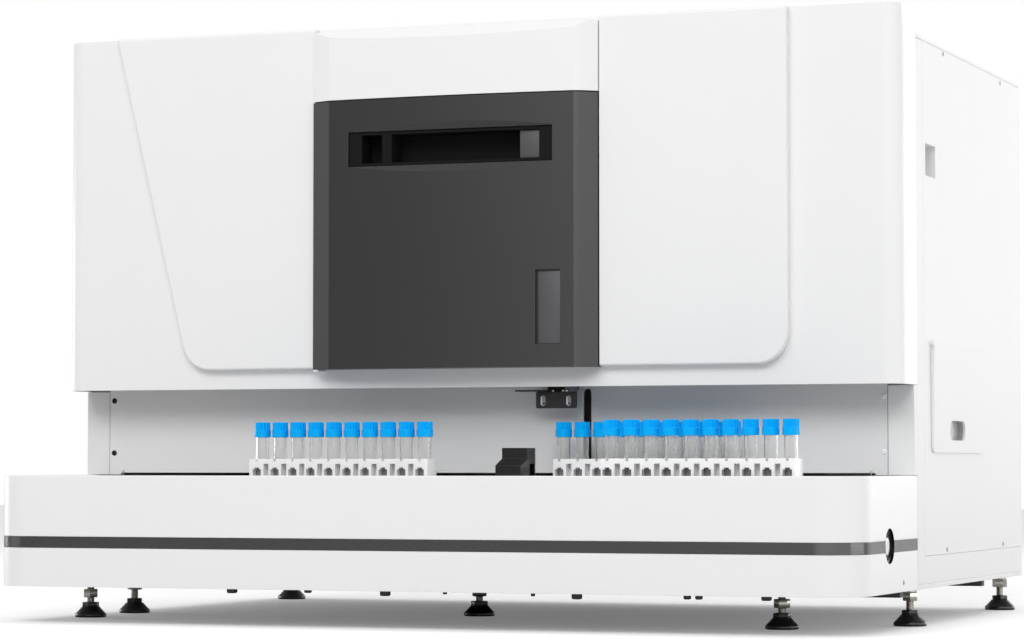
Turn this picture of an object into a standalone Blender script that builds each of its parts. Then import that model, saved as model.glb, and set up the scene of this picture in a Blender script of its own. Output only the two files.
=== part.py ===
"""Bench-top urine analyzer with a sample rack tray in front.

Sizes are in millimetres and turned into metres where a mesh is made. X runs to the
right, Y from the front of the tray to the back, Z up from the surface it stands on.
"""

import math

import bmesh
import bpy
from mathutils import Vector

MM = 0.001
GAP = 0.3                      # clearance between pieces that touch

# Whole machine
HALF = 460.0                   # half of the width over the covers
PROUD = 4.0                    # how far the hatch and the louvres stand out of the sides
BOTTOM = 38.0                  # underside of the chassis
SHEET = 2.0                    # sheet metal
MOULD = 3.0                    # moulded covers
FASCIA_BACK = 225.0            # back edge of the front cover
FRAME_BACK = 706.0             # back of the main frame
HOSE_REACH = 13.4              # how far the hose fittings stand out at the back
FRAME_Y = FASCIA_BACK + GAP
REAR = FRAME_BACK + SHEET + 2 * GAP
DEPTH = REAR + HOSE_REACH

# Tray and its apron
APRON_TOP, APRON_CORNER, APRON_WALL = 151.0, 45.0, 4.0
APRON_BACK = FASCIA_BACK - 1.0
LIP, LIP_THICK = 13.0, 3.0
BAND_LOW, BAND_HIGH, BAND_DEPTH = 77.5, 88.7, 2.0
WELL_FLOOR, WELL_FRONT, WELL_BACK, WELL_CORNER = 99.7, 12.0, 208.0, 33.0
WELL_X = HALF - 13.0
RAIL_HIGH = 3.0                # low rails on the tray floor, which carry the racks
ISLAND_LEFT, ISLAND_RIGHT, ISLAND_BACK = -4.0, 92.0, 150.0
BACK_RAILS = (168.0, 182.0)    # the two rails of the lane behind the island
GUIDE_LEFT, GUIDE_RIGHT, GUIDE_TOP = 57.0, 84.5, 178.7
GUIDE_TOE, GUIDE_STEP, GUIDE_BACK = 106.4, 125.0, 148.0
BUTTON_Y, BUTTON_Z, BEZEL_R, BUTTON_R = 115.0, 83.5, 17.1, 8.8
DISH = 2.0                     # how deep the button sits in its bezel

# Racks and tubes
RACK_LONG, RACK_DEEP, RACK_TOP = 196.6, 25.0, 167.7
TUBE_PITCH, TUBE_COUNT, TUBE_R, TUBE_SETBACK = 20.0, 10, 6.7, 14.0
CAP_LOW, CAP_RING, CAP_TOP, CAP_R, CAP_KNURL_R = 189.8, 197.6, 205.2, 8.3, 8.0
RACKS = {                      # first tube and lane of each rack
    "rack_left": (-195.3, 97.0, 11.4),
    "rack_right_front": (WELL_X - 242.7, 38.0, 8.5),
    "rack_right_back": (104.8, 176.0, 8.5),
}

# Sampling bay
BAY_Y, BAY_LOW, BAY_HIGH = 214.0, 153.4, 258.0
BAY_SEAM = HALF - 27.4
SLOT_X, SLOT_WIDE, SLOT_TOP = 116.8, 8.4, 239.9
NEEDLE_X, NEEDLE_Y, NEEDLE_R = 114.8, 176.0, 0.8

# Front cover and the pieces on it
FASCIA_Y, FASCIA_LOW, FASCIA_TOP, FASCIA_CORNER = 163.0, 241.0, 616.0, 20.0
SHOULDER_Y = 176.0
SHOULDER_HIGH = FASCIA_TOP - 20.5
HOUSING_TOP = FASCIA_TOP - 24.7
PANEL_Y, PANEL_LOW, PANEL_CORNER = 153.0, 261.2, 32.0
PANEL_SLOPE = 0.2412           # how far the left edge leans in for each unit down
PANEL_LEFT_TOP, PANEL_RIGHT = -HALF + 65.0, HALF - 112.7
MODULE_LEFT, MODULE_RIGHT, MODULE_BACK = -161.7, 154.3, 162.4
MODULE_EDGE_Y, CHAMFER_X, CHAMFER_Y, CROWN_Y = 147.0, -140.0, 138.0, 132.0
RETURN_X, RETURN_Y = 130.6, 137.0
DOOR_LOW, CAP_BEVEL_SLOPE = 260.4, 0.77
DOOR_HIGH = FASCIA_TOP - 77.7
CAP_COVER_TOP = FASCIA_TOP - 5.0
CAP_BEVEL_Z = CAP_COVER_TOP - 11.2
HINGE_X, HINGE_Y, HINGE_R = -158.0, 149.0, 1.5
PORT_LEFT, PORT_RIGHT, PORT_Y = -117.4, 107.0, 136.0
PORT_HIGH = DOOR_HIGH - 33.7
PORT_LOW = PORT_HIGH - 35.9
PULL_LEFT, PULL_RIGHT, PULL_LOW, PULL_HIGH, PULL_DEEP = 89.3, 115.6, 283.2, 358.5, 5.0

# Housing behind the front cover
FRAME_WALL = 5.0
SIDE_FRONT, SIDE_LOW = 254.6, 70.7
SIDE_BACK = FRAME_BACK - 2.2
SIDE_HIGH = HOUSING_TOP - 3.5
BASE_SEAM = 42.0               # joint between the base plate and the frame's walls
HATCH_FRONT, HATCH_BACK, HATCH_LOW, HATCH_HIGH = 283.0, 504.0, 174.0, 287.0
GRIP_FRONT, GRIP_BACK, GRIP_LOW, GRIP_HIGH = 368.0, 436.0, 187.0, 207.0
PEEP_FRONT, PEEP_BACK, PEEP_LOW, PEEP_HIGH = 263.8, 306.4, 452.8, 485.3
DECK_Z = 300.0
REAR_SPLIT = 160.0             # top of the connector panel, below the rear panel

# Levelling feet: across, back, and how high the lock nut was run up
NUT_FRONT, NUT_REAR = 21.0, 25.3
FEET = (
    (-HALF + 36, 156, NUT_FRONT),
    (-HALF + 34, 266, NUT_REAR),
    (-HALF + 35, FRAME_BACK - 31, NUT_REAR),
    (-47, 328, NUT_FRONT),
    (HALF - 121, 160, NUT_FRONT),
    (HALF - 22, 271, NUT_REAR),
    (HALF - 22, FRAME_BACK - 25, NUT_REAR),
)
PAD_R, STUD_R, NUT_ACROSS, NUT_HIGH, COLLAR_ACROSS, BOSS_R = 16.6, 4.0, 14.0, 8.8, 15.6, 7.0


def look(name, colour, roughness, metallic=0.0):
    """One Principled material for each piece, from the colour seen in the photo."""
    made = bpy.data.materials.new(name)
    made.use_nodes = True
    shader = made.node_tree.nodes["Principled BSDF"]
    shader.inputs["Base Color"].default_value = (*colour, 1.0)
    shader.inputs["Roughness"].default_value = roughness
    shader.inputs["Metallic"].default_value = metallic
    made.diffuse_color = (*colour, 1.0)
    return made


WHITE = ((0.86, 0.86, 0.87), 0.35, 0.0)
GREY = ((0.50, 0.51, 0.53), 0.45, 0.0)
DOOR_GREY = ((0.050, 0.050, 0.052), 0.38, 0.0)
BLACK = ((0.010, 0.010, 0.011), 0.45, 0.0)
STEEL = ((0.55, 0.54, 0.52), 0.30, 1.0)
ZINC = ((0.62, 0.63, 0.65), 0.40, 1.0)
GREEN = ((0.02, 0.16, 0.07), 0.50, 0.0)
CLEAR = ((0.80, 0.83, 0.85), 0.08, 0.0)


def place(point):
    """A point in the machine's millimetres, as metres about the middle of its footprint."""
    x, y, z = point
    return Vector((x * MM, (y - DEPTH / 2) * MM, z * MM))


def prism(outline, low, high, axis="Z"):
    """An outline pushed along an axis: (x, y) along Z, (x, z) along Y, (y, z) along X."""
    turn = {
        "Z": lambda a, b, c: (a, b, c),
        "Y": lambda a, b, c: (a, c, b),
        "X": lambda a, b, c: (c, a, b),
    }[axis]
    shape = bmesh.new()
    ends = [[shape.verts.new(place(turn(a, b, c))) for a, b in outline] for c in (low, high)]
    shape.faces.new(ends[0])
    shape.faces.new(reversed(ends[1]))
    for i in range(len(outline)):
        j = (i + 1) % len(outline)
        shape.faces.new((ends[0][j], ends[0][i], ends[1][i], ends[1][j]))
    bmesh.ops.recalc_face_normals(shape, faces=shape.faces)
    return shape


def block(x, y, z):
    """A box between two values on each axis."""
    return prism([(x[0], y[0]), (x[1], y[0]), (x[1], y[1]), (x[0], y[1])], z[0], z[1])


def turned(profile, centre, axis="Z", sides=16, turn=0.0):
    """A profile of (radius, height) spun about an axis through centre; its ends close on it."""
    shape = bmesh.new()
    rings = []
    for radius, height in profile:
        count = sides if radius > 0 else 1
        ring = []
        for i in range(count):
            angle = turn + math.tau * i / sides
            a, b = radius * math.cos(angle), radius * math.sin(angle)
            offset = {"Z": (a, b, height), "Y": (a, height, b), "X": (height, a, b)}[axis]
            ring.append(shape.verts.new(place([c + o for c, o in zip(centre, offset)])))
        rings.append(ring)
    for first, second in zip(rings, rings[1:]):
        for i in range(sides):
            j = (i + 1) % sides
            corners = [first[i % len(first)], first[j % len(first)]]
            corners += [second[j % len(second)], second[i % len(second)]]
            shape.faces.new(list(dict.fromkeys(corners)))
    bmesh.ops.recalc_face_normals(shape, faces=shape.faces)
    return shape


def rod(radius, low, high, centre, axis="Z", sides=16, turn=0.0):
    return turned([(0, low), (radius, low), (radius, high), (0, high)], centre, axis, sides, turn)


def arc(centre, radius, start, end, steps):
    """Points on a circle between two angles in degrees."""
    spread = [math.radians(start + (end - start) * i / steps) for i in range(steps + 1)]
    return [(centre[0] + radius * math.cos(a), centre[1] + radius * math.sin(a)) for a in spread]


def rounded(a, b, radii, steps=6):
    """A rectangle from a to b, with a radius for each corner, anticlockwise from the lower left."""
    (x0, y0), (x1, y1) = a, b
    points = []
    corners = ((x0, y0, 1, 1, 180), (x1, y0, -1, 1, 270), (x1, y1, -1, -1, 0), (x0, y1, 1, -1, 90))
    for (x, y, sx, sy, start), radius in zip(corners, radii):
        if radius:
            points += arc((x + sx * radius, y + sy * radius), radius, start, start + 90, steps)
        else:
            points.append((x, y))
    return points


def u_path(half, front, back, radius, steps=8):
    """The plan of a cover that wraps round the front: left side, front, right side."""
    left = arc((-half + radius, front + radius), radius, 180, 270, steps)
    right = arc((half - radius, front + radius), radius, 270, 360, steps)
    return [(-half, back), *left, *right, (half, back)]


def u_wall(half, front, back, radius, inset, thick):
    """The plan of that cover's wall, starting inset from its outer face."""
    outer = u_path(half - inset, front + inset, back, radius - inset)
    deep = inset + thick
    inner = u_path(half - deep, front + deep, back, max(radius - deep, 1.0))
    return outer + inner[::-1]


def joined(*shapes):
    """Shapes that lie apart from each other, as one mesh."""
    whole = bmesh.new()
    for shape in shapes:
        mesh = bpy.data.meshes.new("joined")
        shape.to_mesh(mesh)
        whole.from_mesh(mesh)
        bpy.data.meshes.remove(mesh)
        shape.free()
    return whole


def piece(name, shape, colours, pivot=None):
    """One named object with a material of its own; a moving piece has its origin on its axis."""
    mesh = bpy.data.meshes.new(name)
    origin = place(pivot) if pivot else Vector((0, 0, 0))
    bmesh.ops.translate(shape, verts=shape.verts, vec=-origin)
    shape.to_mesh(mesh)
    shape.free()
    mesh.shade_smooth()
    mesh.set_sharp_from_angle(angle=math.radians(32))
    made = bpy.data.objects.new(name, mesh)
    made.location = origin
    made.data.materials.append(look(name, *colours))
    bpy.context.scene.collection.objects.link(made)
    return made


def helper(target, shape, operation):
    """A hidden solid that a Boolean takes from a piece or adds to it."""
    number = len(target.modifiers)
    mesh = bpy.data.meshes.new(f"{target.name}_{operation.lower()}_{number}")
    shape.to_mesh(mesh)
    shape.free()
    tool = bpy.data.objects.new(mesh.name, mesh)
    tool.hide_render = True
    tool.display_type = "WIRE"
    bpy.context.scene.collection.objects.link(tool)
    step = target.modifiers.new(f"{operation.lower()}_{number}", "BOOLEAN")
    step.operation = operation
    step.solver = "EXACT"
    step.object = tool


def carve(target, *shapes):
    helper(target, joined(*shapes), "DIFFERENCE")


def fuse(target, *shapes):
    helper(target, joined(*shapes), "UNION")


def hexagon(across, low, high, centre, axis="Z", turn=0.0):
    return rod(across / math.sqrt(3), low, high, centre, axis, 6, turn)


for old in list(bpy.data.objects):
    bpy.data.objects.remove(old)


# Welded main frame: a box of sheet walls, open at the front, back, top and both sides.
frame = piece(
    "main_frame",
    block((-HALF, HALF), (FRAME_Y, FRAME_BACK), (BOTTOM, SIDE_HIGH)),
    WHITE,
)
inner = HALF - FRAME_WALL
carve(frame, block((-inner, inner), (FRAME_Y + 3, FRAME_BACK - 3), (BOTTOM + 3, SIDE_HIGH - 3)))
recess = (SIDE_FRONT - GAP, SIDE_BACK + GAP), (SIDE_LOW - GAP, SIDE_HIGH + 5)
carve(frame, *(block((s * (HALF - 2.4), s * (HALF + 5)), *recess) for s in (-1, 1)))
carve(
    frame,
    block((-HALF - 5, HALF + 5), (SIDE_FRONT + 5, SIDE_BACK - 12), (SIDE_LOW + 10, SIDE_HIGH - 12)),
)
front_hole, back_hole, top_hole = HALF - 35, HALF - 20, HALF - 25
window = (SIDE_LOW, SIDE_HIGH - 20)
carve(frame, block((-front_hole, front_hole), (FRAME_Y - 5, FRAME_Y + 6), window))
carve(frame, block((-back_hole, back_hole), (FRAME_BACK - 6, FRAME_BACK + 5), window))
top_window = (FRAME_Y + 25, FRAME_BACK - 25), (SIDE_HIGH - 6, SIDE_HIGH + 5)
carve(frame, block((-top_hole, top_hole), *top_window))
for side in (-1, 1):
    seam_x = sorted((side * (HALF - 0.8), side * (HALF + 5)))
    carve(frame, block(seam_x, (FRAME_Y + 1, FRAME_BACK + 5), (BASE_SEAM, BASE_SEAM + 0.8)))

# Floor pan of the tray, bolted to the front of the frame.
pan = piece(
    "tray_pan",
    prism(
        rounded((-HALF + 10, 9), (HALF - 10, FRAME_Y - GAP), (36, 36, 0, 0)),
        BOTTOM,
        BOTTOM + SHEET,
    ),
    WHITE,
)
for side in (-1, 1):
    web = sorted((side * (HALF - 60), side * (HALF - 60 + SHEET)))
    fuse(pan, block(web, (20, FRAME_Y - GAP), (BOTTOM + 1, WELL_FLOOR - 3.3)))

# Apron: one moulded cover round the front and sides of the tray, with a lip along its top.
apron = piece(
    "tray_apron",
    prism(u_wall(HALF, 0, APRON_BACK, APRON_CORNER, 0, APRON_WALL), BOTTOM, APRON_TOP),
    WHITE,
)
lip = u_wall(HALF, 0, APRON_BACK, APRON_CORNER, 1.0, LIP)
fuse(apron, prism(lip, APRON_TOP - LIP_THICK, APRON_TOP))
past = APRON_BACK + 5
around = [(-HALF - 5, past), (-HALF - 5, -5), (HALF + 5, -5), (HALF + 5, past)]
groove = u_path(HALF - BAND_DEPTH, BAND_DEPTH, past, APRON_CORNER - BAND_DEPTH)
carve(apron, prism(around + groove[::-1], BAND_LOW - GAP, BAND_HIGH + GAP))
button_at = (0, BUTTON_Y, BUTTON_Z)
carve(apron, rod(BEZEL_R - 2.5, HALF - 20, HALF + 5, button_at, "X", 24))
carve(apron, rod(BEZEL_R + GAP, HALF - 2.5, HALF + 5, button_at, "X", 24))

# Dark band laid in the groove: a long strip round the front, and a short one behind the button.
band_wall = u_wall(HALF, 0, APRON_BACK, APRON_CORNER, 0, BAND_DEPTH - GAP)
band = piece("apron_band", prism(band_wall, BAND_LOW, BAND_HIGH), DOOR_GREY)
carve(band, block((0, HALF + 5), (BUTTON_Y, past), (BAND_LOW - 5, BAND_HIGH + 5)))
band_end = piece(
    "apron_band_end",
    block((HALF - BAND_DEPTH + GAP, HALF), (BUTTON_Y, APRON_BACK), (BAND_LOW, BAND_HIGH)),
    DOOR_GREY,
)
for strip in (band, band_end):
    carve(strip, rod(BEZEL_R + GAP, HALF - 30, HALF + 30, button_at, "X", 24))

# Power button: a dished ring with a barrel, and a cap that slides in it.
bezel = piece(
    "power_bezel",
    turned(
        [
            (0, HALF - 9),
            (BEZEL_R - 3, HALF - 9),
            (BEZEL_R - 3, HALF - 2.2),
            (BEZEL_R, HALF - 2.2),
            (BEZEL_R, HALF),
            (BEZEL_R - 0.4, HALF + 0.4),
            (BEZEL_R - 1.2, HALF + 0.4),
            (BUTTON_R + 2.0, HALF - DISH),
            (0, HALF - DISH),
        ],
        button_at,
        "X",
        24,
    ),
    BLACK,
)
carve(bezel, rod(BUTTON_R + GAP, HALF - 14, HALF + 5, button_at, "X", 24))
button = piece(
    "power_button",
    turned(
        [
            (0, HALF - 5),
            (BUTTON_R, HALF - 5),
            (BUTTON_R, HALF - DISH + 0.2),
            (BUTTON_R - 1.0, HALF - DISH + 0.8),
            (0, HALF - DISH + 0.6),
        ],
        button_at,
        "X",
        24,
    ),
    WHITE,
    pivot=(HALF, BUTTON_Y, BUTTON_Z),
)

# Rack tray: a rim under the apron's lip, a well with round corners, and an island between
# the loading side and the unloading side. Low rails on the floor carry the racks.
rim_top = APRON_TOP - LIP_THICK - GAP
tray = piece(
    "rack_tray",
    prism(rounded((-HALF + 4.5, 4.5), (HALF - 4.5, BAY_Y - 3), (40, 40, 0, 0)), rim_top - 3, rim_top),
    GREY,
)
well_outer = rounded((-WELL_X - 3, WELL_FRONT - 3), (WELL_X + 3, WELL_BACK + 3), (36, 36, 0, 0))
fuse(tray, prism(well_outer, WELL_FLOOR - 3, rim_top))
well_inner = rounded((-WELL_X, WELL_FRONT), (WELL_X, WELL_BACK), (WELL_CORNER,) * 2 + (0, 0))
carve(tray, prism(well_inner, WELL_FLOOR, rim_top + 5))
island = rounded((ISLAND_LEFT, WELL_FRONT - 1), (ISLAND_RIGHT, ISLAND_BACK), (0, 0, 8, 8), 4)
fuse(tray, prism(island, WELL_FLOOR - 1, rim_top))
rail_z = (WELL_FLOOR - 1, WELL_FLOOR + RAIL_HIGH)
lane_rails = (-190, -30, WELL_X - 232, WELL_X - 72)
back_run = (-WELL_X + 17, WELL_X - 17)
fuse(tray, *(block((x - 4, x + 4), (WELL_FRONT + 4, ISLAND_BACK), rail_z) for x in lane_rails))
fuse(tray, *(block(back_run, (y - 2, y + 2), rail_z) for y in BACK_RAILS))
belt_hole = (BACK_RAILS[0] - 12, BACK_RAILS[1] + 12), (WELL_FLOOR - 5, WELL_FLOOR + 5)
carve(tray, *(block((x - 6, x + 6), *belt_hole) for x in (-300, 60)))

# Black guide on the island, stepped towards the front, with a slot low in its right side.
guide = piece(
    "rack_guide",
    prism(
        [
            (GUIDE_TOE, rim_top + GAP),
            (GUIDE_BACK, rim_top + GAP),
            (GUIDE_BACK, GUIDE_TOP),
            (GUIDE_STEP, GUIDE_TOP),
            (GUIDE_STEP, GUIDE_TOP - 10.7),
            (GUIDE_TOE, GUIDE_TOP - 17.5),
        ],
        GUIDE_LEFT,
        GUIDE_RIGHT,
        "X",
    ),
    BLACK,
)
guide_slot = (GUIDE_STEP + 7, GUIDE_BACK - 3), (rim_top - 5, GUIDE_TOP - 15.9)
carve(guide, block((GUIDE_RIGHT - 6.5, GUIDE_RIGHT + 5), *guide_slot))


# Racks: a moulded bar with a window at each tube and a slot between, with capped tubes in it.
def rack(name):
    first, lane, overhang = RACKS[name]
    left = first - overhang
    front = lane - TUBE_SETBACK
    bottom = WELL_FLOOR + RAIL_HIGH + GAP
    made = piece(
        name,
        block((left, left + RACK_LONG), (front, front + RACK_DEEP), (bottom, RACK_TOP)),
        WHITE,
    )
    centres = [first + TUBE_PITCH * i for i in range(TUBE_COUNT)]
    see = (front - 5, front + 4), (bottom + 9, RACK_TOP - 10.5)
    grip = (front - 5, front + 5), (bottom - 5, RACK_TOP - 4.9)
    windows = [block((x - 4.2, x + 4.2), *see) for x in centres]
    slots = [block((x + 7.1, x + 12.7), *grip) for x in centres[:-1]]
    carve(made, *windows, *slots)
    profile = [
        (0, RACK_TOP - 8),
        (TUBE_R, RACK_TOP - 8),
        (TUBE_R, CAP_LOW),
        (CAP_R, CAP_LOW),
        (CAP_R, CAP_RING),
        (CAP_KNURL_R, CAP_RING + 0.3),
        (CAP_KNURL_R, CAP_TOP),
        (0, CAP_TOP),
    ]
    fuse(made, *(turned(profile, (x, lane, 0), sides=10) for x in centres))
    return made


for rack_name in RACKS:
    rack(rack_name)


# Carriages under two of the racks: a tongue in front of or behind the rack carries it along.
def carriage(name, rack_name, gap_side):
    first, lane, overhang = RACKS[rack_name]
    middle = first - overhang + RACK_LONG / 2
    front = lane - TUBE_SETBACK
    face = front - GAP if gap_side < 0 else front + RACK_DEEP + GAP
    far = face + gap_side * 3
    plate = sorted((face, far))
    return piece(
        name,
        block((middle - 60, middle + 60), plate, (WELL_FLOOR + GAP, 138)),
        STEEL,
        pivot=(middle, lane, WELL_FLOOR),
    )


carriage("feed_carriage", "rack_right_front", -1)
carriage("return_carriage", "rack_left", 1)

# Bay columns: folded corner strips on each side of the bay's back panel.
for side, side_name in ((-1, "left"), (1, "right")):
    near, far = side * (BAY_SEAM + 0.6), side * HALF
    plan = [
        (near, BAY_Y),
        (far, BAY_Y),
        (far, FRAME_Y - GAP),
        (far - side * SHEET, FRAME_Y - GAP),
        (far - side * SHEET, BAY_Y + SHEET),
        (near, BAY_Y + SHEET),
    ]
    piece(f"bay_column_{side_name}", prism(plan, APRON_TOP + GAP, FASCIA_LOW - GAP), WHITE)

# Back panel of the bay: a sheet with folded sides and the sampling slot, open at the bottom.
s = BAY_SEAM
back_plan = [
    (-s, BAY_Y),
    (s, BAY_Y),
    (s, FRAME_Y - GAP),
    (s - SHEET, FRAME_Y - GAP),
    (s - SHEET, BAY_Y + SHEET),
    (-s + SHEET, BAY_Y + SHEET),
    (-s + SHEET, FRAME_Y - GAP),
    (-s, FRAME_Y - GAP),
]
bay_panel = piece("bay_back_panel", prism(back_plan, APRON_TOP + GAP, BAY_HIGH), WHITE)
radius = SLOT_WIDE / 2
slot_arch = arc((SLOT_X, SLOT_TOP - radius), radius, 0, 180, 8)
slot_plan = [(SLOT_X - radius, 140), (SLOT_X + radius, 140), *slot_arch]
carve(bay_panel, prism(slot_plan, BAY_Y - 5, BAY_Y + 7, "Y"))
carve(bay_panel, block((-HALF + 41, HALF - 40), (BAY_Y - 5, BAY_Y + 7), (140, BAY_LOW)))

# Front cover: rounded at both sides, open at the bottom and back, lower behind its top lip.
fascia = piece(
    "front_cover",
    prism(
        u_path(HALF, FASCIA_Y, FASCIA_BACK, FASCIA_CORNER),
        FASCIA_LOW,
        FASCIA_TOP,
    ),
    WHITE,
)
hollow = u_path(HALF - MOULD, FASCIA_Y + MOULD, FASCIA_BACK + 5, FASCIA_CORNER - MOULD)
carve(fascia, prism(hollow, FASCIA_LOW - 5, SHOULDER_HIGH - 9))
shoulder = [
    (SHOULDER_Y, FASCIA_TOP + 5),
    (SHOULDER_Y, SHOULDER_HIGH),
    (FASCIA_BACK + 5, HOUSING_TOP),
    (FASCIA_BACK + 5, FASCIA_TOP + 5),
]
carve(fascia, prism(shoulder, -HALF - 5, HALF + 5, "X"))
door_way = (MODULE_LEFT + 11.7, MODULE_RIGHT - 12.3), (DOOR_LOW + 11.6, DOOR_HIGH - 10.3)
carve(fascia, block(door_way[0], (FASCIA_Y - 5, FASCIA_Y + MOULD + 2), door_way[1]))
lug = rounded((HINGE_X - 3.5, HINGE_Y - 3.5), (HINGE_X + 3.5, FASCIA_Y + 1), (3, 3, 0, 0), 4)
fuse(fascia, prism(lug, DOOR_LOW - 2.1, DOOR_LOW - GAP))

# Raised panels: the left one leans in along its outer edge, both have a round lower corner.
lean = math.degrees(math.atan(PANEL_SLOPE))
low_left = PANEL_LEFT_TOP + PANEL_SLOPE * (FASCIA_TOP - PANEL_LOW)
reach = PANEL_CORNER * math.tan(math.radians((90 - lean) / 2))
centre = (low_left + reach, PANEL_LOW + PANEL_CORNER)
left_plan = [
    (PANEL_LEFT_TOP, FASCIA_TOP),
    *arc(centre, PANEL_CORNER, 180 + lean, 270, 8),
    (MODULE_LEFT - 2 * GAP, PANEL_LOW),
    (MODULE_LEFT - 2 * GAP, FASCIA_TOP),
]
piece("raised_panel_left", prism(left_plan, PANEL_Y, FASCIA_Y - GAP, "Y"), WHITE)
right_plan = rounded(
    (MODULE_RIGHT + 2 * GAP, PANEL_LOW),
    (PANEL_RIGHT, FASCIA_TOP),
    (0, PANEL_CORNER, 0, 0),
    8,
)
piece("raised_panel_right", prism(right_plan, PANEL_Y, FASCIA_Y - GAP, "Y"), WHITE)


# The centre module's plan: a chamfer on the left, a shallow arc, a softer return on the right.
def module_plan(inset=0.0, back=MODULE_BACK):
    left, right = MODULE_LEFT + inset, MODULE_RIGHT - inset
    edge, chamfer = MODULE_EDGE_Y + inset, CHAMFER_Y + inset
    crown, soft = CROWN_Y + inset, RETURN_Y + inset
    face = []
    for i in range(13):
        share = i / 12
        x = CHAMFER_X + inset * 0.3 + (RETURN_X - inset * 0.3 - CHAMFER_X - inset * 0.3) * share
        bow = 1 - (2 * share - 1) ** 2
        base = chamfer + (soft - chamfer) * share
        face.append((x, base - (base - crown) * bow))
    turn = [(RETURN_X + (right - RETURN_X) * t, soft + (edge - soft) * t**1.6) for t in (0.33, 0.67)]
    return [(left, back), (left, edge), *face, *turn, (right, edge), (right, back)]


door = piece(
    "front_door",
    prism(module_plan(), DOOR_LOW, DOOR_HIGH),
    DOOR_GREY,
    pivot=(HINGE_X, HINGE_Y, DOOR_LOW),
)
door_hollow = module_plan(MOULD, MODULE_BACK + 5)
carve(door, prism(door_hollow, DOOR_LOW + MOULD, DOOR_HIGH - MOULD))
pull_back = CROWN_Y + 5 + PULL_DEEP + MOULD
port_wall_y = (CROWN_Y + 6.5, MODULE_BACK)
fuse(
    door,
    block((PULL_LEFT - 3, PULL_RIGHT + 3), (CROWN_Y + 6, pull_back), (PULL_LOW - 3, PULL_HIGH + 3)),
    block((PORT_LEFT - 3, PORT_RIGHT + 3), port_wall_y, (PORT_LOW - 3, PORT_HIGH + 3)),
    rod(4.5, DOOR_LOW + 1, DOOR_HIGH - 1, (HINGE_X + 1, HINGE_Y + 1, 0), sides=12),
)
pin_at = (HINGE_X, HINGE_Y, 0)
pull_y = CROWN_Y + 2 + PULL_DEEP
carve(door, block((PULL_LEFT, PULL_RIGHT), (CROWN_Y - 10, pull_y), (PULL_LOW, PULL_HIGH)))
port_flare = [
    (PORT_Y, PORT_LOW),
    (PORT_Y, PORT_HIGH),
    (CROWN_Y - 1, PORT_HIGH + 9.5),
    (CROWN_Y - 10, PORT_HIGH + 9.5),
    (CROWN_Y - 10, PORT_LOW - 9.5),
    (CROWN_Y - 1, PORT_LOW - 9.5),
]
carve(door, prism(port_flare, PORT_LEFT, PORT_RIGHT, "X"))
carve(door, block((PORT_LEFT, PORT_RIGHT), (CROWN_Y, MODULE_BACK + 5), (PORT_LOW, PORT_HIGH)))
carve(
    door,
    rod(HINGE_R + 0.1, DOOR_LOW - 5, DOOR_LOW + 12, pin_at, sides=12),
    rod(HINGE_R + 0.1, DOOR_HIGH - 12, DOOR_HIGH + 5, pin_at, sides=12),
)

# Liner of the strip port: a dark box with two windows, a rib between and a grey stop.
liner_x = (PORT_LEFT + GAP, PORT_RIGHT - GAP)
liner = piece(
    "strip_port_liner",
    block(liner_x, (PORT_Y + 2, PORT_Y + 34), (PORT_LOW + GAP, PORT_HIGH - GAP)),
    BLACK,
    pivot=(HINGE_X, HINGE_Y, PORT_LOW),
)
window_z = (PORT_LOW + 3.4, PORT_HIGH - 3.4)
carve(
    liner,
    block((-103.1, -80.2), (PORT_Y - 5, PORT_Y + 30), window_z),
    block((-69.5, 70.2), (PORT_Y - 5, PORT_Y + 30), window_z),
)
carve(liner, block((69, 92.3), (PORT_Y - 5, PORT_Y + 6), window_z))

# White cap over the door, with a flat bevel along its top that runs out on the round face.
cap = piece("module_cap", prism(module_plan(), DOOR_HIGH + 0.5, CAP_COVER_TOP), WHITE)
rise = CAP_COVER_TOP - CAP_BEVEL_Z
bevel = [
    (CROWN_Y - 4, CAP_BEVEL_Z - 4 * CAP_BEVEL_SLOPE),
    (CROWN_Y + rise / CAP_BEVEL_SLOPE, CAP_COVER_TOP),
    (CROWN_Y + rise / CAP_BEVEL_SLOPE + 4, CAP_COVER_TOP + 4 * CAP_BEVEL_SLOPE),
    (CROWN_Y - 4, CAP_COVER_TOP + 8),
]
carve(cap, prism(bevel, MODULE_LEFT - 5, MODULE_RIGHT + 5, "X"))
carve(cap, prism(module_plan(MOULD + 4, MODULE_BACK + 5), DOOR_HIGH + 6, CAP_COVER_TOP - 16))

# Hinge pins of the door, one moulded on the cap and one on the lug below the door.
fuse(cap, rod(HINGE_R, DOOR_HIGH - 11, DOOR_HIGH + 4, pin_at, sides=12))
fuse(fascia, rod(HINGE_R, DOOR_LOW - 1.9, DOOR_LOW + 11, pin_at, sides=12))

# Crossbar behind the front cover, which carries the sampler and the sensor bracket.
BAR_LOW, BAR_HIGH = 262.0, 292.0
bar = piece(
    "front_crossbar",
    block((-HALF + 5, HALF - 5), (BAY_Y, FRAME_Y - GAP), (BAR_LOW, BAR_HIGH)),
    ZINC,
)
carve(bar, block((-HALF - 5, HALF + 5), (BAY_Y + 4, FRAME_Y + 5), (BAR_LOW + 3, BAR_HIGH - 3)))

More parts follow.
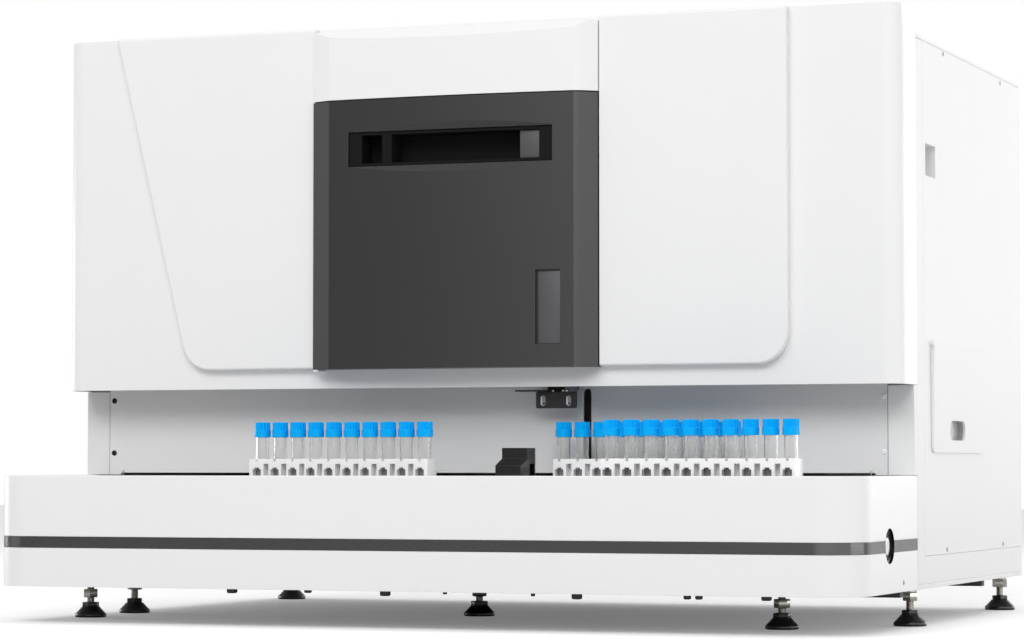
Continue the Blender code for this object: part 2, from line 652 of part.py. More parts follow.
# Sensor bracket: an angle with two slotted holes, hung from the crossbar by its long leg, with
# a narrow shield strip riveted on its flange.
BRACKET_X, BRACKET_Y, BRACKET_LOW, FLANGE_Z = (69.4, 113.4), 190.0, 219.5, 234.3
SHIELD_X, SHIELD_Y, SHIELD_THICK = (47.0, 85.0), (176.0, 195.0), 1.5
BRACKET_HOLES, HOLE_R, HOLE_LOW, HOLE_HIGH = (76.9, 104.7), 3.0, 221.7, 232.8
hang_y = BAY_Y - GAP
flange_top = FLANGE_Z + SHEET
bracket = piece(
    "sensor_bracket",
    prism(
        rounded((BRACKET_X[0], BRACKET_LOW), (BRACKET_X[1], flange_top), (1.6, 1.6, 0, 0), 3),
        BRACKET_Y,
        BRACKET_Y + SHEET,
        "Y",
    ),
    BLACK,
)
fuse(bracket, block(BRACKET_X, (BRACKET_Y + 0.5, hang_y), (FLANGE_Z, flange_top)))
fuse(bracket, block((74, 92), (hang_y - SHEET, hang_y), (flange_top - 1, BAR_HIGH - 2)))
for x in BRACKET_HOLES:
    upper = arc((x, HOLE_HIGH - HOLE_R), HOLE_R, 0, 180, 5)
    lower = arc((x, HOLE_LOW + HOLE_R), HOLE_R, 180, 360, 5)
    carve(bracket, prism(upper + lower, BRACKET_Y - 5, BRACKET_Y + 5, "Y"))
rivet_x = (BRACKET_X[0] + 2, SHIELD_X[1] - 2)
fuse(bracket, block(rivet_x, (BRACKET_Y + 1, SHIELD_Y[1] - 1), (flange_top - 0.5, flange_top + 1)))
shield_z = (flange_top + GAP, flange_top + GAP + SHIELD_THICK)
fuse(bracket, block(SHIELD_X, SHIELD_Y, shield_z))

# Sampler: a rail on the crossbar, a carriage that runs down it, the needle, and its guide nose.
RAIL_Y, RAIL_LOW, RAIL_TOP = 201.0, 300.0, FASCIA_TOP - 96.0
HEAD_TOP = RAIL_TOP - 70.0
HEAD_LOW = HEAD_TOP - 30.0
rail = piece(
    "sampler_rail",
    block((NEEDLE_X - 12, NEEDLE_X + 12), (RAIL_Y, hang_y), (RAIL_LOW, RAIL_TOP)),
    STEEL,
)
for a, b in ((-20, -8), (8, 20)):
    groove_y = (RAIL_Y + 3, RAIL_Y + 7)
    carve(rail, block((NEEDLE_X + a, NEEDLE_X + b), groove_y, (RAIL_LOW - 10, RAIL_TOP + 10)))
fuse(rail, block((NEEDLE_X - 20, NEEDLE_X + 20), (RAIL_Y + 9, hang_y), (BAR_LOW + 4, RAIL_LOW + 40)))
head = piece(
    "sampler_carriage",
    block((NEEDLE_X - 15, NEEDLE_X + 15), (NEEDLE_Y - 8, RAIL_Y - GAP), (HEAD_LOW, HEAD_TOP)),
    ZINC,
    pivot=(NEEDLE_X, NEEDLE_Y, HEAD_LOW),
)
needle_at = (NEEDLE_X, NEEDLE_Y, 0)
carve(head, rod(NEEDLE_R + GAP, HEAD_LOW - 20, HEAD_TOP + 20, needle_at, sides=8))
piece(
    "sampler_needle",
    turned(
        [
            (0, 238),
            (NEEDLE_R, 240),
            (NEEDLE_R, HEAD_TOP + 2),
            (2.5, HEAD_TOP + 2),
            (2.5, HEAD_TOP + 10),
            (0, HEAD_TOP + 10),
        ],
        needle_at,
        sides=8,
    ),
    STEEL,
    pivot=(NEEDLE_X, NEEDLE_Y, HEAD_LOW),
)
nose = piece(
    "needle_guide",
    turned(
        [(0, 236), (3.0, 236), (6.2, 240), (6.2, 252), (0, 252)],
        (NEEDLE_X, NEEDLE_Y, 0),
        sides=16,
    ),
    GREY,
)
fuse(nose, block((NEEDLE_X - 4, NEEDLE_X + 4), (NEEDLE_Y + 4, hang_y), (247, 251)))
fuse(nose, block((NEEDLE_X - 4, NEEDLE_X + 4), (hang_y - SHEET, hang_y), (248, 264)))
carve(nose, rod(NEEDLE_R + 0.5, 230, 260, (NEEDLE_X, NEEDLE_Y, 0), sides=8))

# Right side panel: a flat cover in the frame's recess, with a port window and the hatch's hole.
panel_edge = (HALF - 2.1, HALF)
side_right = piece(
    "side_panel_right",
    block(panel_edge, (SIDE_FRONT, SIDE_BACK), (SIDE_LOW, SIDE_HIGH)),
    WHITE,
)
door_hole = rounded((HATCH_FRONT + 10, HATCH_LOW + 8), (HATCH_BACK - 10, HATCH_HIGH - 12), (6,) * 4, 3)
carve(side_right, prism(door_hole, HALF - 10, HALF + 10, "X"))
lug_z = (HATCH_HIGH - 4.2, HATCH_HIGH)
for y in ((HATCH_FRONT - 4, HATCH_FRONT - GAP), (HATCH_BACK + GAP, HATCH_BACK + 4)):
    fuse(side_right, block((HALF - 1, HALF + PROUD), y, lug_z))
hatch_axis = (HALF + 2.2, 0, HATCH_HIGH - 2)
fuse(side_right, rod(0.9, HATCH_FRONT - 3, HATCH_BACK + 3, hatch_axis, "Y", 8))
pocket = (PEEP_FRONT - 3, PEEP_BACK + 3), (PEEP_LOW - 3, PEEP_HIGH + 3)
fuse(side_right, block((HALF - 28, HALF - 1), *pocket))
carve(side_right, block((HALF - 25, HALF + 10), (PEEP_FRONT, PEEP_BACK), (PEEP_LOW, PEEP_HIGH)))

# Hatch on the right side: a raised flap with a finger slot, hinged along its top edge.
hatch = piece(
    "side_hatch",
    prism(
        rounded((HATCH_FRONT, HATCH_LOW), (HATCH_BACK, HATCH_HIGH), (7, 3, 1, 1), 4),
        HALF + GAP,
        HALF + PROUD,
        "X",
    ),
    WHITE,
    pivot=(HALF + 2.2, HATCH_FRONT, HATCH_HIGH - 2),
)
grip_r = (GRIP_HIGH - GRIP_LOW) / 2 - 0.01
grip = rounded((GRIP_FRONT, GRIP_LOW), (GRIP_BACK, GRIP_HIGH), (grip_r,) * 4, 5)
carve(hatch, prism(grip, HALF - 5, HALF + 10, "X"))
carve(hatch, rod(1.0, HATCH_FRONT - 5, HATCH_BACK + 5, hatch_axis, "Y", 8))
heel = [(HALF + GAP, HATCH_HIGH - 1.4), (HALF + 1.6, HATCH_HIGH), (HALF - 1, HATCH_HIGH + 2)]
carve(hatch, prism(heel, HATCH_FRONT - 5, HATCH_BACK + 5, "Y"))

# Left side panel: the same cover with rows of pressed louvres.
side_left = piece(
    "side_panel_left",
    block((-HALF, -HALF + 2.1), (SIDE_FRONT, SIDE_BACK), (SIDE_LOW, SIDE_HIGH)),
    WHITE,
)
louvre_rows = [150 + 22 * i for i in range(8)]
for start in (330, 490):
    hoods = []
    slits = []
    for z in louvre_rows:
        outer, inside, under = -HALF - PROUD, -HALF + 5, -HALF - PROUD + 1.5
        hood = [(-HALF + 1, z + 12), (outer, z), (outer, z - 2), (-HALF + 1, z - 2)]
        hoods.append(prism(hood, start, start + 120, "Y"))
        slit = [(inside, z + 7), (under, z - 1), (under, z - 5), (inside, z - 5)]
        slits.append(prism(slit, start + 3, start + 117, "Y"))
    fuse(side_left, *hoods)
    carve(side_left, *slits)

# Top cover: a shallow lid over the frame with its sides folded down inside the rim.
lid = piece(
    "top_cover",
    block((-HALF, HALF), (FASCIA_BACK + GAP, REAR), (SIDE_HIGH + GAP, HOUSING_TOP)),
    WHITE,
)

# Rear panel: sheet on the back of the frame, with a fan grille and rows of vents.
sheet_y = (FRAME_BACK + GAP, REAR - GAP)
rear = piece(
    "rear_panel",
    block((-HALF + 2, HALF - 2), sheet_y, (REAR_SPLIT, SIDE_HIGH)),
    WHITE,
)
FAN_X, FAN_Z = HALF - 180.0, HOUSING_TOP - 161.3
ribs = []
for row in range(-4, 5):
    half_run = math.sqrt(56**2 - (row * 12) ** 2)
    for side in (-1, 1):
        run = sorted((FAN_X + side * 3, FAN_X + side * half_run))
        rib_z = FAN_Z + row * 12
        ribs.append(block(run, (FRAME_BACK - 5, REAR + 5), (rib_z - 4, rib_z + 4)))
carve(rear, *ribs)
VENT_X, VENT_Z = -HALF + 130.0, HOUSING_TOP - 91.3
vents = []
for column in range(5):
    for row in range(3):
        x, z = VENT_X + 60 * column, VENT_Z + 14 * row
        vents.append(block((x, x + 45), (FRAME_BACK - 5, REAR + 5), (z, z + 6)))
carve(rear, *vents)

# Connector panel below it, with the cut-outs for the mains, the data sockets and the hoses.
connectors = piece(
    "connector_panel",
    block((-HALF + 2, HALF - 2), sheet_y, (BOTTOM + 4, REAR_SPLIT - GAP)),
    WHITE,
)
INLET_X, INLET_Z = -HALF + 120.0, 120.0
SOCKETS_X = INLET_X + 130.0
carve(
    connectors,
    block((INLET_X - 14, INLET_X + 14), (FRAME_BACK - 5, REAR + 5), (INLET_Z - 10, INLET_Z + 10)),
    block((INLET_X + 26, INLET_X + 40), (FRAME_BACK - 5, REAR + 5), (INLET_Z - 10, INLET_Z + 10)),
    block((SOCKETS_X - 30, SOCKETS_X + 30), (FRAME_BACK - 5, REAR + 5), (INLET_Z - 10, INLET_Z + 10)),
)
FITTING_Z = INLET_Z - 10.0
FITTINGS = [HALF - 160.0 + 30 * i for i in range(4)]
holes = [rod(4.3, FRAME_BACK - 5, REAR + 5, (x, 0, FITTING_Z), "Y", 8) for x in FITTINGS]
carve(connectors, *holes)

# Fan: a square housing with a round throat, and a rotor of seven blades.
fan_y = (FRAME_BACK - 26, FRAME_BACK - GAP)
fan = piece(
    "fan_housing",
    block((FAN_X - 60, FAN_X + 60), fan_y, (FAN_Z - 60, FAN_Z + 60)),
    BLACK,
)
carve(fan, rod(56, fan_y[0] - 5, fan_y[1] + 5, (FAN_X, 0, FAN_Z), "Y", 28))
fuse(fan, block((FAN_X - 58, FAN_X + 58), (fan_y[0], fan_y[0] + 3), (FAN_Z - 3, FAN_Z + 3)))
fuse(fan, rod(17, fan_y[0], fan_y[0] + 3.7, (FAN_X, 0, FAN_Z), "Y", 16))
rotor = piece(
    "fan_rotor",
    rod(19, fan_y[0] + 4, fan_y[1] - 2, (FAN_X, 0, FAN_Z), "Y", 16),
    BLACK,
    pivot=(FAN_X, sum(fan_y) / 2, FAN_Z),
)
blades = []
for i in range(7):
    corners = []
    for radius, sweep, spread in ((17.5, 0.0, 0.10), (53.0, 0.35, 0.22)):
        for turn, y in ((-spread, fan_y[0] + 6), (spread, fan_y[1] - 7)):
            a = math.tau * i / 7 + sweep + turn
            corners.append((FAN_X + radius * math.cos(a), y, FAN_Z + radius * math.sin(a)))
    blade = bmesh.new()
    near = [blade.verts.new(place(corners[k])) for k in (0, 1, 3, 2)]
    far = [blade.verts.new(v.co + Vector((0, 2 * MM, 0))) for v in near]
    blade.faces.new(near)
    blade.faces.new(reversed(far))
    for k in range(4):
        blade.faces.new((near[(k + 1) % 4], near[k], far[k], far[(k + 1) % 4]))
    bmesh.ops.recalc_face_normals(blade, faces=blade.faces)
    blades.append(blade)
fuse(rotor, *blades)

# Mains inlet, mains switch, data sockets and hose fittings on the rear panel.
inlet = piece(
    "mains_inlet",
    block(
        (INLET_X - 13.5, INLET_X + 13.5),
        (FRAME_BACK - 18, REAR + 2),
        (INLET_Z - 9.5, INLET_Z + 9.5),
    ),
    BLACK,
)
fuse(inlet, block((INLET_X - 18, INLET_X + 18), (REAR, REAR + 2), (INLET_Z - 13, INLET_Z + 13)))
carve(inlet, block((INLET_X - 11, INLET_X + 11), (REAR - 13, REAR + 5), (INLET_Z - 7, INLET_Z + 7)))
for across, up in ((-7, -2), (0, 3), (7, -2)):
    x, z = INLET_X + across, INLET_Z + up
    fuse(inlet, block((x - 1, x + 1), (REAR - 14, REAR - 2), (z - 2, z + 2)))
switch_x = INLET_X + 33
switch = piece(
    "switch_housing",
    block(
        (switch_x - 6.5, switch_x + 6.5),
        (FRAME_BACK - 14, REAR + 1.5),
        (INLET_Z - 9.5, INLET_Z + 9.5),
    ),
    BLACK,
)
fuse(switch, block((switch_x - 9, switch_x + 9), (REAR, REAR + 1.5), (INLET_Z - 13, INLET_Z + 13)))
rocker_well = (REAR - 12, REAR + 5), (INLET_Z - 8.5, INLET_Z + 8.5)
carve(switch, block((switch_x - 5, switch_x + 5), *rocker_well))
rocker = prism(
    [
        (REAR - 5, INLET_Z - 6),
        (REAR + 0.6, INLET_Z - 6),
        (REAR + 1.0, INLET_Z),
        (REAR + 4.0, INLET_Z + 6),
        (REAR - 5, INLET_Z + 6),
    ],
    switch_x - 4.5,
    switch_x + 4.5,
    "X",
)
piece("mains_switch", rocker, BLACK, pivot=(switch_x, REAR - 5, INLET_Z))
sockets = piece(
    "data_sockets",
    block((SOCKETS_X - 29, SOCKETS_X + 29), (FRAME_BACK - 15, REAR + 1), (INLET_Z - 9, INLET_Z + 9)),
    ZINC,
)
fuse(sockets, block((SOCKETS_X - 36, SOCKETS_X + 36), (REAR, REAR + 1), (INLET_Z - 12, INLET_Z + 12)))
for low, high, half in ((-24, -12, 3), (-6, 6, 3), (12, 26, 6)):
    mouth = (SOCKETS_X + low, SOCKETS_X + high)
    carve(sockets, block(mouth, (REAR - 11, REAR + 5), (INLET_Z - half, INLET_Z + half)))
fitting_profile = [
    (0, FRAME_BACK - 12),
    (3.9, FRAME_BACK - 12),
    (3.9, REAR),
    (7.0, REAR),
    (7.0, REAR + 4),
    (3.4, REAR + 4),
    (4.2, REAR + 7),
    (3.0, DEPTH),
    (0, DEPTH),
]
manifold = piece(
    "hose_fittings",
    block(
        (FITTINGS[0] - 12, FITTINGS[-1] + 12),
        (FRAME_BACK - 24, FRAME_BACK - 10),
        (FITTING_Z - 10, FITTING_Z + 10),
    ),
    ZINC,
)
fuse(manifold, *(turned(fitting_profile, (x, 0, FITTING_Z), "Y", 8) for x in FITTINGS))

# Equipment deck across the frame, with folded edges that stand on the frame's floor.
FLOOR_TOP = BOTTOM + 3 + GAP
deck_y = (FRAME_Y + 3 + GAP, FRAME_BACK - 3 - GAP)
deck = piece(
    "equipment_deck",
    block((-inner + GAP, inner - GAP), deck_y, (DECK_Z, DECK_Z + SHEET)),
    ZINC,
)
for side in (-1, 1):
    edge = sorted((side * (inner - GAP), side * (inner - GAP - SHEET)))
    fuse(deck, block(edge, deck_y, (FLOOR_TOP, DECK_Z + 1)))
top = DECK_Z + SHEET + GAP
carve(deck, block((HALF - 60, HALF + 10), (HATCH_FRONT, HATCH_BACK), (HATCH_LOW, HATCH_HIGH)))

# Strip feeder: a hopper with sloped walls over a drum that picks the strips one by one.
HOPPER_X, HOPPER_TOP, DRUM_Y, DRUM_R, SPINDLE_R = (-120.0, 40.0), HOUSING_TOP - 91.3, 300.0, 34.0, 4.0
DRUM_Z = HOPPER_TOP - 110.0
hopper = piece(
    "strip_hopper",
    prism(
        [
            (DRUM_Y - 62, top),
            (DRUM_Y + 62, top),
            (DRUM_Y + 62, HOPPER_TOP),
            (DRUM_Y - 62, HOPPER_TOP),
        ],
        *HOPPER_X,
        "X",
    ),
    WHITE,
)
chute = [
    (DRUM_Y - 56, HOPPER_TOP + 5),
    (DRUM_Y - 56, HOPPER_TOP - 20),
    (DRUM_Y - 30, DRUM_Z + 26),
    (DRUM_Y + 30, DRUM_Z + 26),
    (DRUM_Y + 56, HOPPER_TOP - 20),
    (DRUM_Y + 56, HOPPER_TOP + 5),
]
between = (HOPPER_X[0] + 4, HOPPER_X[1] - 4)
drum_at = (0, DRUM_Y, DRUM_Z)
carve(hopper, prism(chute, *between, "X"))
carve(hopper, rod(DRUM_R + 1.0, *between, drum_at, "X", 24))
carve(hopper, block(between, (DRUM_Y - 24, DRUM_Y + 24), (top - 5, DRUM_Z - 10)))
carve(hopper, rod(SPINDLE_R + 0.2, HOPPER_X[0] - 5, HOPPER_X[1] + 5, drum_at, "X", 12))
drum = piece(
    "strip_drum",
    turned(
        [
            (0, HOPPER_X[0] - 8),
            (SPINDLE_R, HOPPER_X[0] - 8),
            (SPINDLE_R, HOPPER_X[0] + 6),
            (DRUM_R, HOPPER_X[0] + 6),
            (DRUM_R, HOPPER_X[1] - 6),
            (SPINDLE_R, HOPPER_X[1] - 6),
            (SPINDLE_R, HOPPER_X[1] + 8),
            (0, HOPPER_X[1] + 8),
        ],
        drum_at,
        "X",
        24,
    ),
    GREY,
    pivot=(sum(HOPPER_X) / 2, DRUM_Y, DRUM_Z),
)
rim = DRUM_Z + DRUM_R
carve(drum, block((HOPPER_X[0] + 2, HOPPER_X[1] - 2), (DRUM_Y - 3, DRUM_Y + 3), (rim - 3, rim + 5)))

# Strip stage: a grooved plate beside the feeder, with the reading head over it.
stage = piece("strip_stage", block((100, 330), (250, 350), (top, top + 30)), WHITE)
carve(stage, *(block((108 + 14 * i, 114 + 14 * i), (245, 355), (top + 26, top + 35)) for i in range(15)))
head_box = piece(
    "reading_head",
    block((190, 290), (240, 360), (top + 36, HOUSING_TOP - 161.3)),
    BLACK,
)
for leg_y in ((240, 250 - GAP), (350 + GAP, 360)):
    fuse(head_box, block((190, 290), leg_y, (top, top + 40)))

# Syringe pump: housing, glass barrel, and the plunger that draws in it.
PUMP_X, PUMP_Y, PUMP_TOP = -230.0, 300.0, HOUSING_TOP - 121.3
SYRINGE_Y = PUMP_Y - 14
BARREL_R, BARREL_BORE, BARREL_LONG = 8.0, 5.4, 66.7
barrel_top = PUMP_TOP - 18.3
barrel_low = barrel_top - BARREL_LONG
plunger_low = barrel_low - 55
pump = piece(
    "pump_housing",
    block((PUMP_X - 28, PUMP_X + 28), (PUMP_Y, PUMP_Y + 70), (top, PUMP_TOP)),
    WHITE,
)
fuse(pump, block((PUMP_X - 12, PUMP_X + 12), (PUMP_Y - 26, PUMP_Y + 1), (PUMP_TOP - 18, PUMP_TOP - 4)))
syringe_at = (PUMP_X, SYRINGE_Y, 0)
carve(pump, rod(5.2, PUMP_TOP - 30, PUMP_TOP - 12, syringe_at, sides=12))
carve(pump, block((PUMP_X - 5, PUMP_X + 5), (PUMP_Y - 5, PUMP_Y + 12), (top + 3, PUMP_TOP - 60)))
barrel = piece("pump_barrel", rod(BARREL_R, barrel_low, barrel_top, syringe_at), CLEAR)
carve(barrel, rod(BARREL_BORE, barrel_low - 5, barrel_top - 4.7, syringe_at))
fuse(barrel, rod(4.9, barrel_top - 5.7, barrel_top + 5.9, syringe_at, sides=12))
plunger = piece(
    "pump_plunger",
    turned(
        [
            (0, plunger_low),
            (7, plunger_low),
            (7, plunger_low + 6),
            (2.5, plunger_low + 6),
            (2.5, barrel_top - 17.7),
            (BARREL_BORE - GAP, barrel_top - 17.7),
            (BARREL_BORE - GAP, barrel_top - 7.7),
            (0, barrel_top - 7.7),
        ],
        syringe_at,
        sides=14,
    ),
    STEEL,
    pivot=(PUMP_X, SYRINGE_Y, plunger_low),
)
finger_z = (plunger_low + 0.5, plunger_low + 5.5)
fuse(plunger, block((PUMP_X - 4.5, PUMP_X + 4.5), (SYRINGE_Y, PUMP_Y + 10), finger_z))

# Power supply on the floor and control board on the deck, by the rear panel.
SUPPLY_X, SUPPLY_TOP, BOARD_X = -HALF + 60.0, 96.0, -HALF + 80.0
supply = piece(
    "power_supply",
    block((SUPPLY_X, SUPPLY_X + 200), (FRAME_BACK - 146, FRAME_BACK - 16), (FLOOR_TOP, SUPPLY_TOP)),
    ZINC,
)
supply_slots = (FRAME_BACK - 151, FRAME_BACK - 11), (SUPPLY_TOP - 4, SUPPLY_TOP + 4)
for column in range(8):
    x = SUPPLY_X + 10 + 24 * column
    carve(supply, block((x, x + 10), *supply_slots))
board_y = (FRAME_BACK - 226, FRAME_BACK - 26)
board = piece("control_board", block((BOARD_X, BOARD_X + 260), board_y, (top + 8, top + 9.6)), GREEN)
for x in (BOARD_X + 10, BOARD_X + 250):
    for y in (board_y[0] + 10, board_y[1] - 10):
        fuse(board, rod(3, top, top + 9, (x, y, 0), sides=8))
chip = (BOARD_X + 80, BOARD_X + 110), (board_y[0] + 80, board_y[0] + 110), (top + 9, top + 13)
plug = (BOARD_X + 150, BOARD_X + 210), (board_y[1] - 60, board_y[1] - 40), (top + 9, top + 17)
fuse(board, block(*chip))
fuse(board, block(*plug))

# Waste box for used strips, behind the hatch: a thin-walled bin open at the top.
WASTE_WALL = 3.0
waste_x, waste_y = (HALF - 130, HALF - 12), (HATCH_FRONT + 14, HATCH_BACK - 14)
waste = piece("waste_box", block(waste_x, waste_y, (FLOOR_TOP, DECK_Z - 30)), GREY)
bin_x = (waste_x[0] + WASTE_WALL, waste_x[1] - WASTE_WALL)
bin_y = (waste_y[0] + WASTE_WALL, waste_y[1] - WASTE_WALL)
carve(waste, block(bin_x, bin_y, (FLOOR_TOP + WASTE_WALL, DECK_Z)))


# Levelling feet: a black pad with a hexagonal collar, its stud, and the lock nut. The outer
# feet at the back have a boss between the nut and the base plate.
for number, (foot_x, foot_y, nut_low) in enumerate(FEET, 1):
    at = (foot_x, foot_y, 0)
    low = BOTTOM - GAP
    pad = [(0, 0), (PAD_R - 0.6, 0), (PAD_R, 1), (PAD_R, 4.2), (9.6, 11), (0, 11)]
    made = piece(f"levelling_foot_{number}", turned(pad, at, sides=20), BLACK)
    fuse(made, hexagon(COLLAR_ACROSS, 10, 16, at, turn=0.2 * number))
    fuse(made, rod(STUD_R, 14, low, at, sides=8))
    fuse(made, hexagon(NUT_ACROSS, nut_low, nut_low + NUT_HIGH, at, turn=0.4 * number))
    if nut_low == NUT_REAR:
        fuse(made, rod(BOSS_R, nut_low + NUT_HIGH - 1, low, at, sides=12))
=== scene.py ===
import math

import bmesh
import bpy
from mathutils import Matrix, Vector


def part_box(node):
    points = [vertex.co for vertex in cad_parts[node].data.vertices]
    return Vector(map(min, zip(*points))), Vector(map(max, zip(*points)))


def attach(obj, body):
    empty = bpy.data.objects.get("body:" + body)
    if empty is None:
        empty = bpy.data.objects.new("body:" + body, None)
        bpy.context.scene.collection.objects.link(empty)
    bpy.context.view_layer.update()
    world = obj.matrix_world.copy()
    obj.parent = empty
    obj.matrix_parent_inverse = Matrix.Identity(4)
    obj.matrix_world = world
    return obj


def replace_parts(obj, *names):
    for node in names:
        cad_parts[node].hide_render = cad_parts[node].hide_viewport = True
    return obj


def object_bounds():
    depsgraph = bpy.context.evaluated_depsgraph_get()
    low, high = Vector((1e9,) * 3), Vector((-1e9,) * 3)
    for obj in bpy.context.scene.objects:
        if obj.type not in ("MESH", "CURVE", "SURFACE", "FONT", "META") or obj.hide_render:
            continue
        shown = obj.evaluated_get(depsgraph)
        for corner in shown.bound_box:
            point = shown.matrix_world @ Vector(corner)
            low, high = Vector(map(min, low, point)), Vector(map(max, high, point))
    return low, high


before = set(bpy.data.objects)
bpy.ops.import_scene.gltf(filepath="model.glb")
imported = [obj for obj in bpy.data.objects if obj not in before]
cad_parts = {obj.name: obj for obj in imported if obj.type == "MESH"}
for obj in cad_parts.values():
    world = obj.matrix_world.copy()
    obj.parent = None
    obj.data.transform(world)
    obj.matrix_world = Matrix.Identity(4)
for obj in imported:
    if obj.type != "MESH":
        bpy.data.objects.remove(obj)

# The machine's own axes in millimetres: X from its middle to the right, Y from the front of
# the tray to the back, Z up from the bench. The frame is in metres about the same point.
MM = 0.001
solid_box = [list(corner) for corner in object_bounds()]
APRON_FRONT = solid_box[0][1]


def spot(x, y, z):
    return Vector((x * MM, APRON_FRONT + y * MM, z * MM))


# Camera: a long lens, low and to the right of the machine, a little below the middle of it.
EYE = (1.262, -3.3623, 0.1595)
EYE_TURN, EYE_RISE = 20.904, 2.54

lens = bpy.data.cameras.new("photo_camera")
lens.lens = 116.92
lens.sensor_width = 36.0
camera = bpy.data.objects.new("photo_camera", lens)
camera.location = EYE
camera.rotation_euler = (math.radians(90.0 + EYE_RISE), 0.0, math.radians(EYE_TURN))
bpy.context.scene.collection.objects.link(camera)
bpy.context.scene.camera = camera
bpy.context.scene.view_settings.view_transform = "Standard"


# Studio: a white sweep with a white room round it, whose light on matt things grows from the
# horizon up. Glossy things mirror a plainer room with pale screens at the right, the back and
# the far left, and a dimmer stretch at the front left.
def linear(text):
    """An sRGB hex colour as linear red, green, blue and alpha."""
    values = [int(text[i:i + 2], 16) / 255 for i in (1, 3, 5)]
    return (*[v / 12.92 if v <= 0.04045 else ((v + 0.055) / 1.055) ** 2.4 for v in values], 1.0)


def add(tree, kind, inputs=None, **settings):
    """Adds a node with its settings; an input is a value, or an output to link from."""
    node = tree.nodes.new(kind)
    for name, value in settings.items():
        setattr(node, name, value)
    for name, value in (inputs or {}).items():
        if isinstance(value, bpy.types.NodeSocket):
            tree.links.new(value, node.inputs[name])
        else:
            node.inputs[name].default_value = value
    return node


def seen_directly(tree):
    """One for camera and glass rays, and nought for all other rays."""
    path = add(tree, "ShaderNodeLightPath")
    sight = add(
        tree,
        "ShaderNodeMath",
        {0: path.outputs["Is Camera Ray"], 1: path.outputs["Is Transmission Ray"]},
        operation="MAXIMUM",
    )
    return path, sight.outputs[0]


# The room's light at the horizon and from ROOM_TURN up, and the plain room that gloss mirrors.
ROOM_LOW, ROOM_HIGH, ROOM_TURN, ROOM_SHINE = 0.22, 0.70, 0.7, 0.42
# Each screen: the way to its middle, the cosines of the angles at which it starts and is full,
# and how bright it is.
SCREENS = (
    ((-0.56, -0.82, 0.08), 0.90, 0.995, -0.20),
    ((0.61, -0.79, 0.07), 0.52, 0.90, 1.60),
    ((-0.90, -0.42, 0.07), 0.93, 0.99, 0.95),
    ((0.34, 0.93, 0.10), 0.88, 0.98, 1.50),
)

room = bpy.data.worlds.new("white_room")
room.use_nodes = True
sky = room.node_tree
sky.nodes.clear()
path, looked_at = seen_directly(sky)
way = add(sky, "ShaderNodeTexCoord")
height = add(sky, "ShaderNodeSeparateXYZ", {"Vector": way.outputs["Generated"]})
climb = add(
    sky,
    "ShaderNodeMapRange",
    {
        "Value": height.outputs["Z"],
        "From Min": 0.0,
        "From Max": ROOM_TURN,
        "To Min": ROOM_LOW,
        "To Max": ROOM_HIGH,
    },
)
mirrored = add(sky, "ShaderNodeMath", {0: 0.0, 1: ROOM_SHINE}, operation="ADD")
for direction, wide, narrow, amount in SCREENS:
    facing = add(
        sky,
        "ShaderNodeVectorMath",
        {0: way.outputs["Generated"], 1: direction},
        operation="DOT_PRODUCT",
    )
    screen = add(
        sky,
        "ShaderNodeMapRange",
        {
            "Value": facing.outputs["Value"],
            "From Min": wide,
            "From Max": narrow,
            "To Min": 0.0,
            "To Max": amount,
        },
        interpolation_type="SMOOTHSTEP",
    )
    mirrored = add(
        sky,
        "ShaderNodeMath",
        {0: mirrored.outputs[0], 1: screen.outputs["Result"]},
        operation="ADD",
    )
lit = add(
    sky,
    "ShaderNodeMix",
    {
        "Factor": path.outputs["Is Glossy Ray"],
        2: climb.outputs["Result"],
        3: mirrored.outputs[0],
    },
    data_type="FLOAT",
)
level = add(
    sky,
    "ShaderNodeMix",
    {"Factor": looked_at, 2: lit.outputs[0], 3: 1.0},
    data_type="FLOAT",
)
glow = add(
    sky,
    "ShaderNodeBackground",
    {"Color": (1.0, 1.0, 1.0, 1.0), "Strength": level.outputs[0]},
)
add(sky, "ShaderNodeOutputWorld", {"Surface": glow.outputs["Background"]})
bpy.context.scene.world = room


def softbox(name, place, aim, width, height, power):
    lamp = bpy.data.lights.new(name, "AREA")
    lamp.shape = "RECTANGLE"
    lamp.size = width
    lamp.size_y = height
    lamp.energy = power
    holder = bpy.data.objects.new(name, lamp)
    holder.location = place
    holder.rotation_euler = (Vector(aim) - Vector(place)).to_track_quat("-Z", "Y").to_euler()
    bpy.context.scene.collection.objects.link(holder)


softbox("key_right", (1.2, -3.4, 2.3), (0, -0.1, 0.3), 1.6, 1.6, 42.0)
softbox("fill_left", (-0.9, -3.3, 2.7), (0, -0.2, 0.3), 1.8, 1.6, 36.0)
softbox("back_right", (1.9, 2.7, 0.8), (0.3, 0.0, 0.1), 1.0, 1.4, 20.0)
softbox("strip_right", (3.1, 0.3, 0.35), (0.4, 0.0, 0.15), 2.2, 0.6, 16.0)
softbox("low_left", (-3.1, 0.7, 0.35), (0, -0.1, 0.02), 0.8, 0.5, 18.0)
softbox("top", (0.2, 0.2, 3.0), (0, 0, 0.4), 2.4, 2.4, 5.0)

FLOOR_HALF, PAPER_GLOW = 9.0, 0.16
bench = bmesh.new()
bmesh.ops.create_grid(bench, x_segments=1, y_segments=1, size=FLOOR_HALF)
bench_mesh = bpy.data.meshes.new("studio_floor")
bench.to_mesh(bench_mesh)
bench.free()
floor = bpy.data.objects.new("studio_floor", bench_mesh)
bpy.context.scene.collection.objects.link(floor)
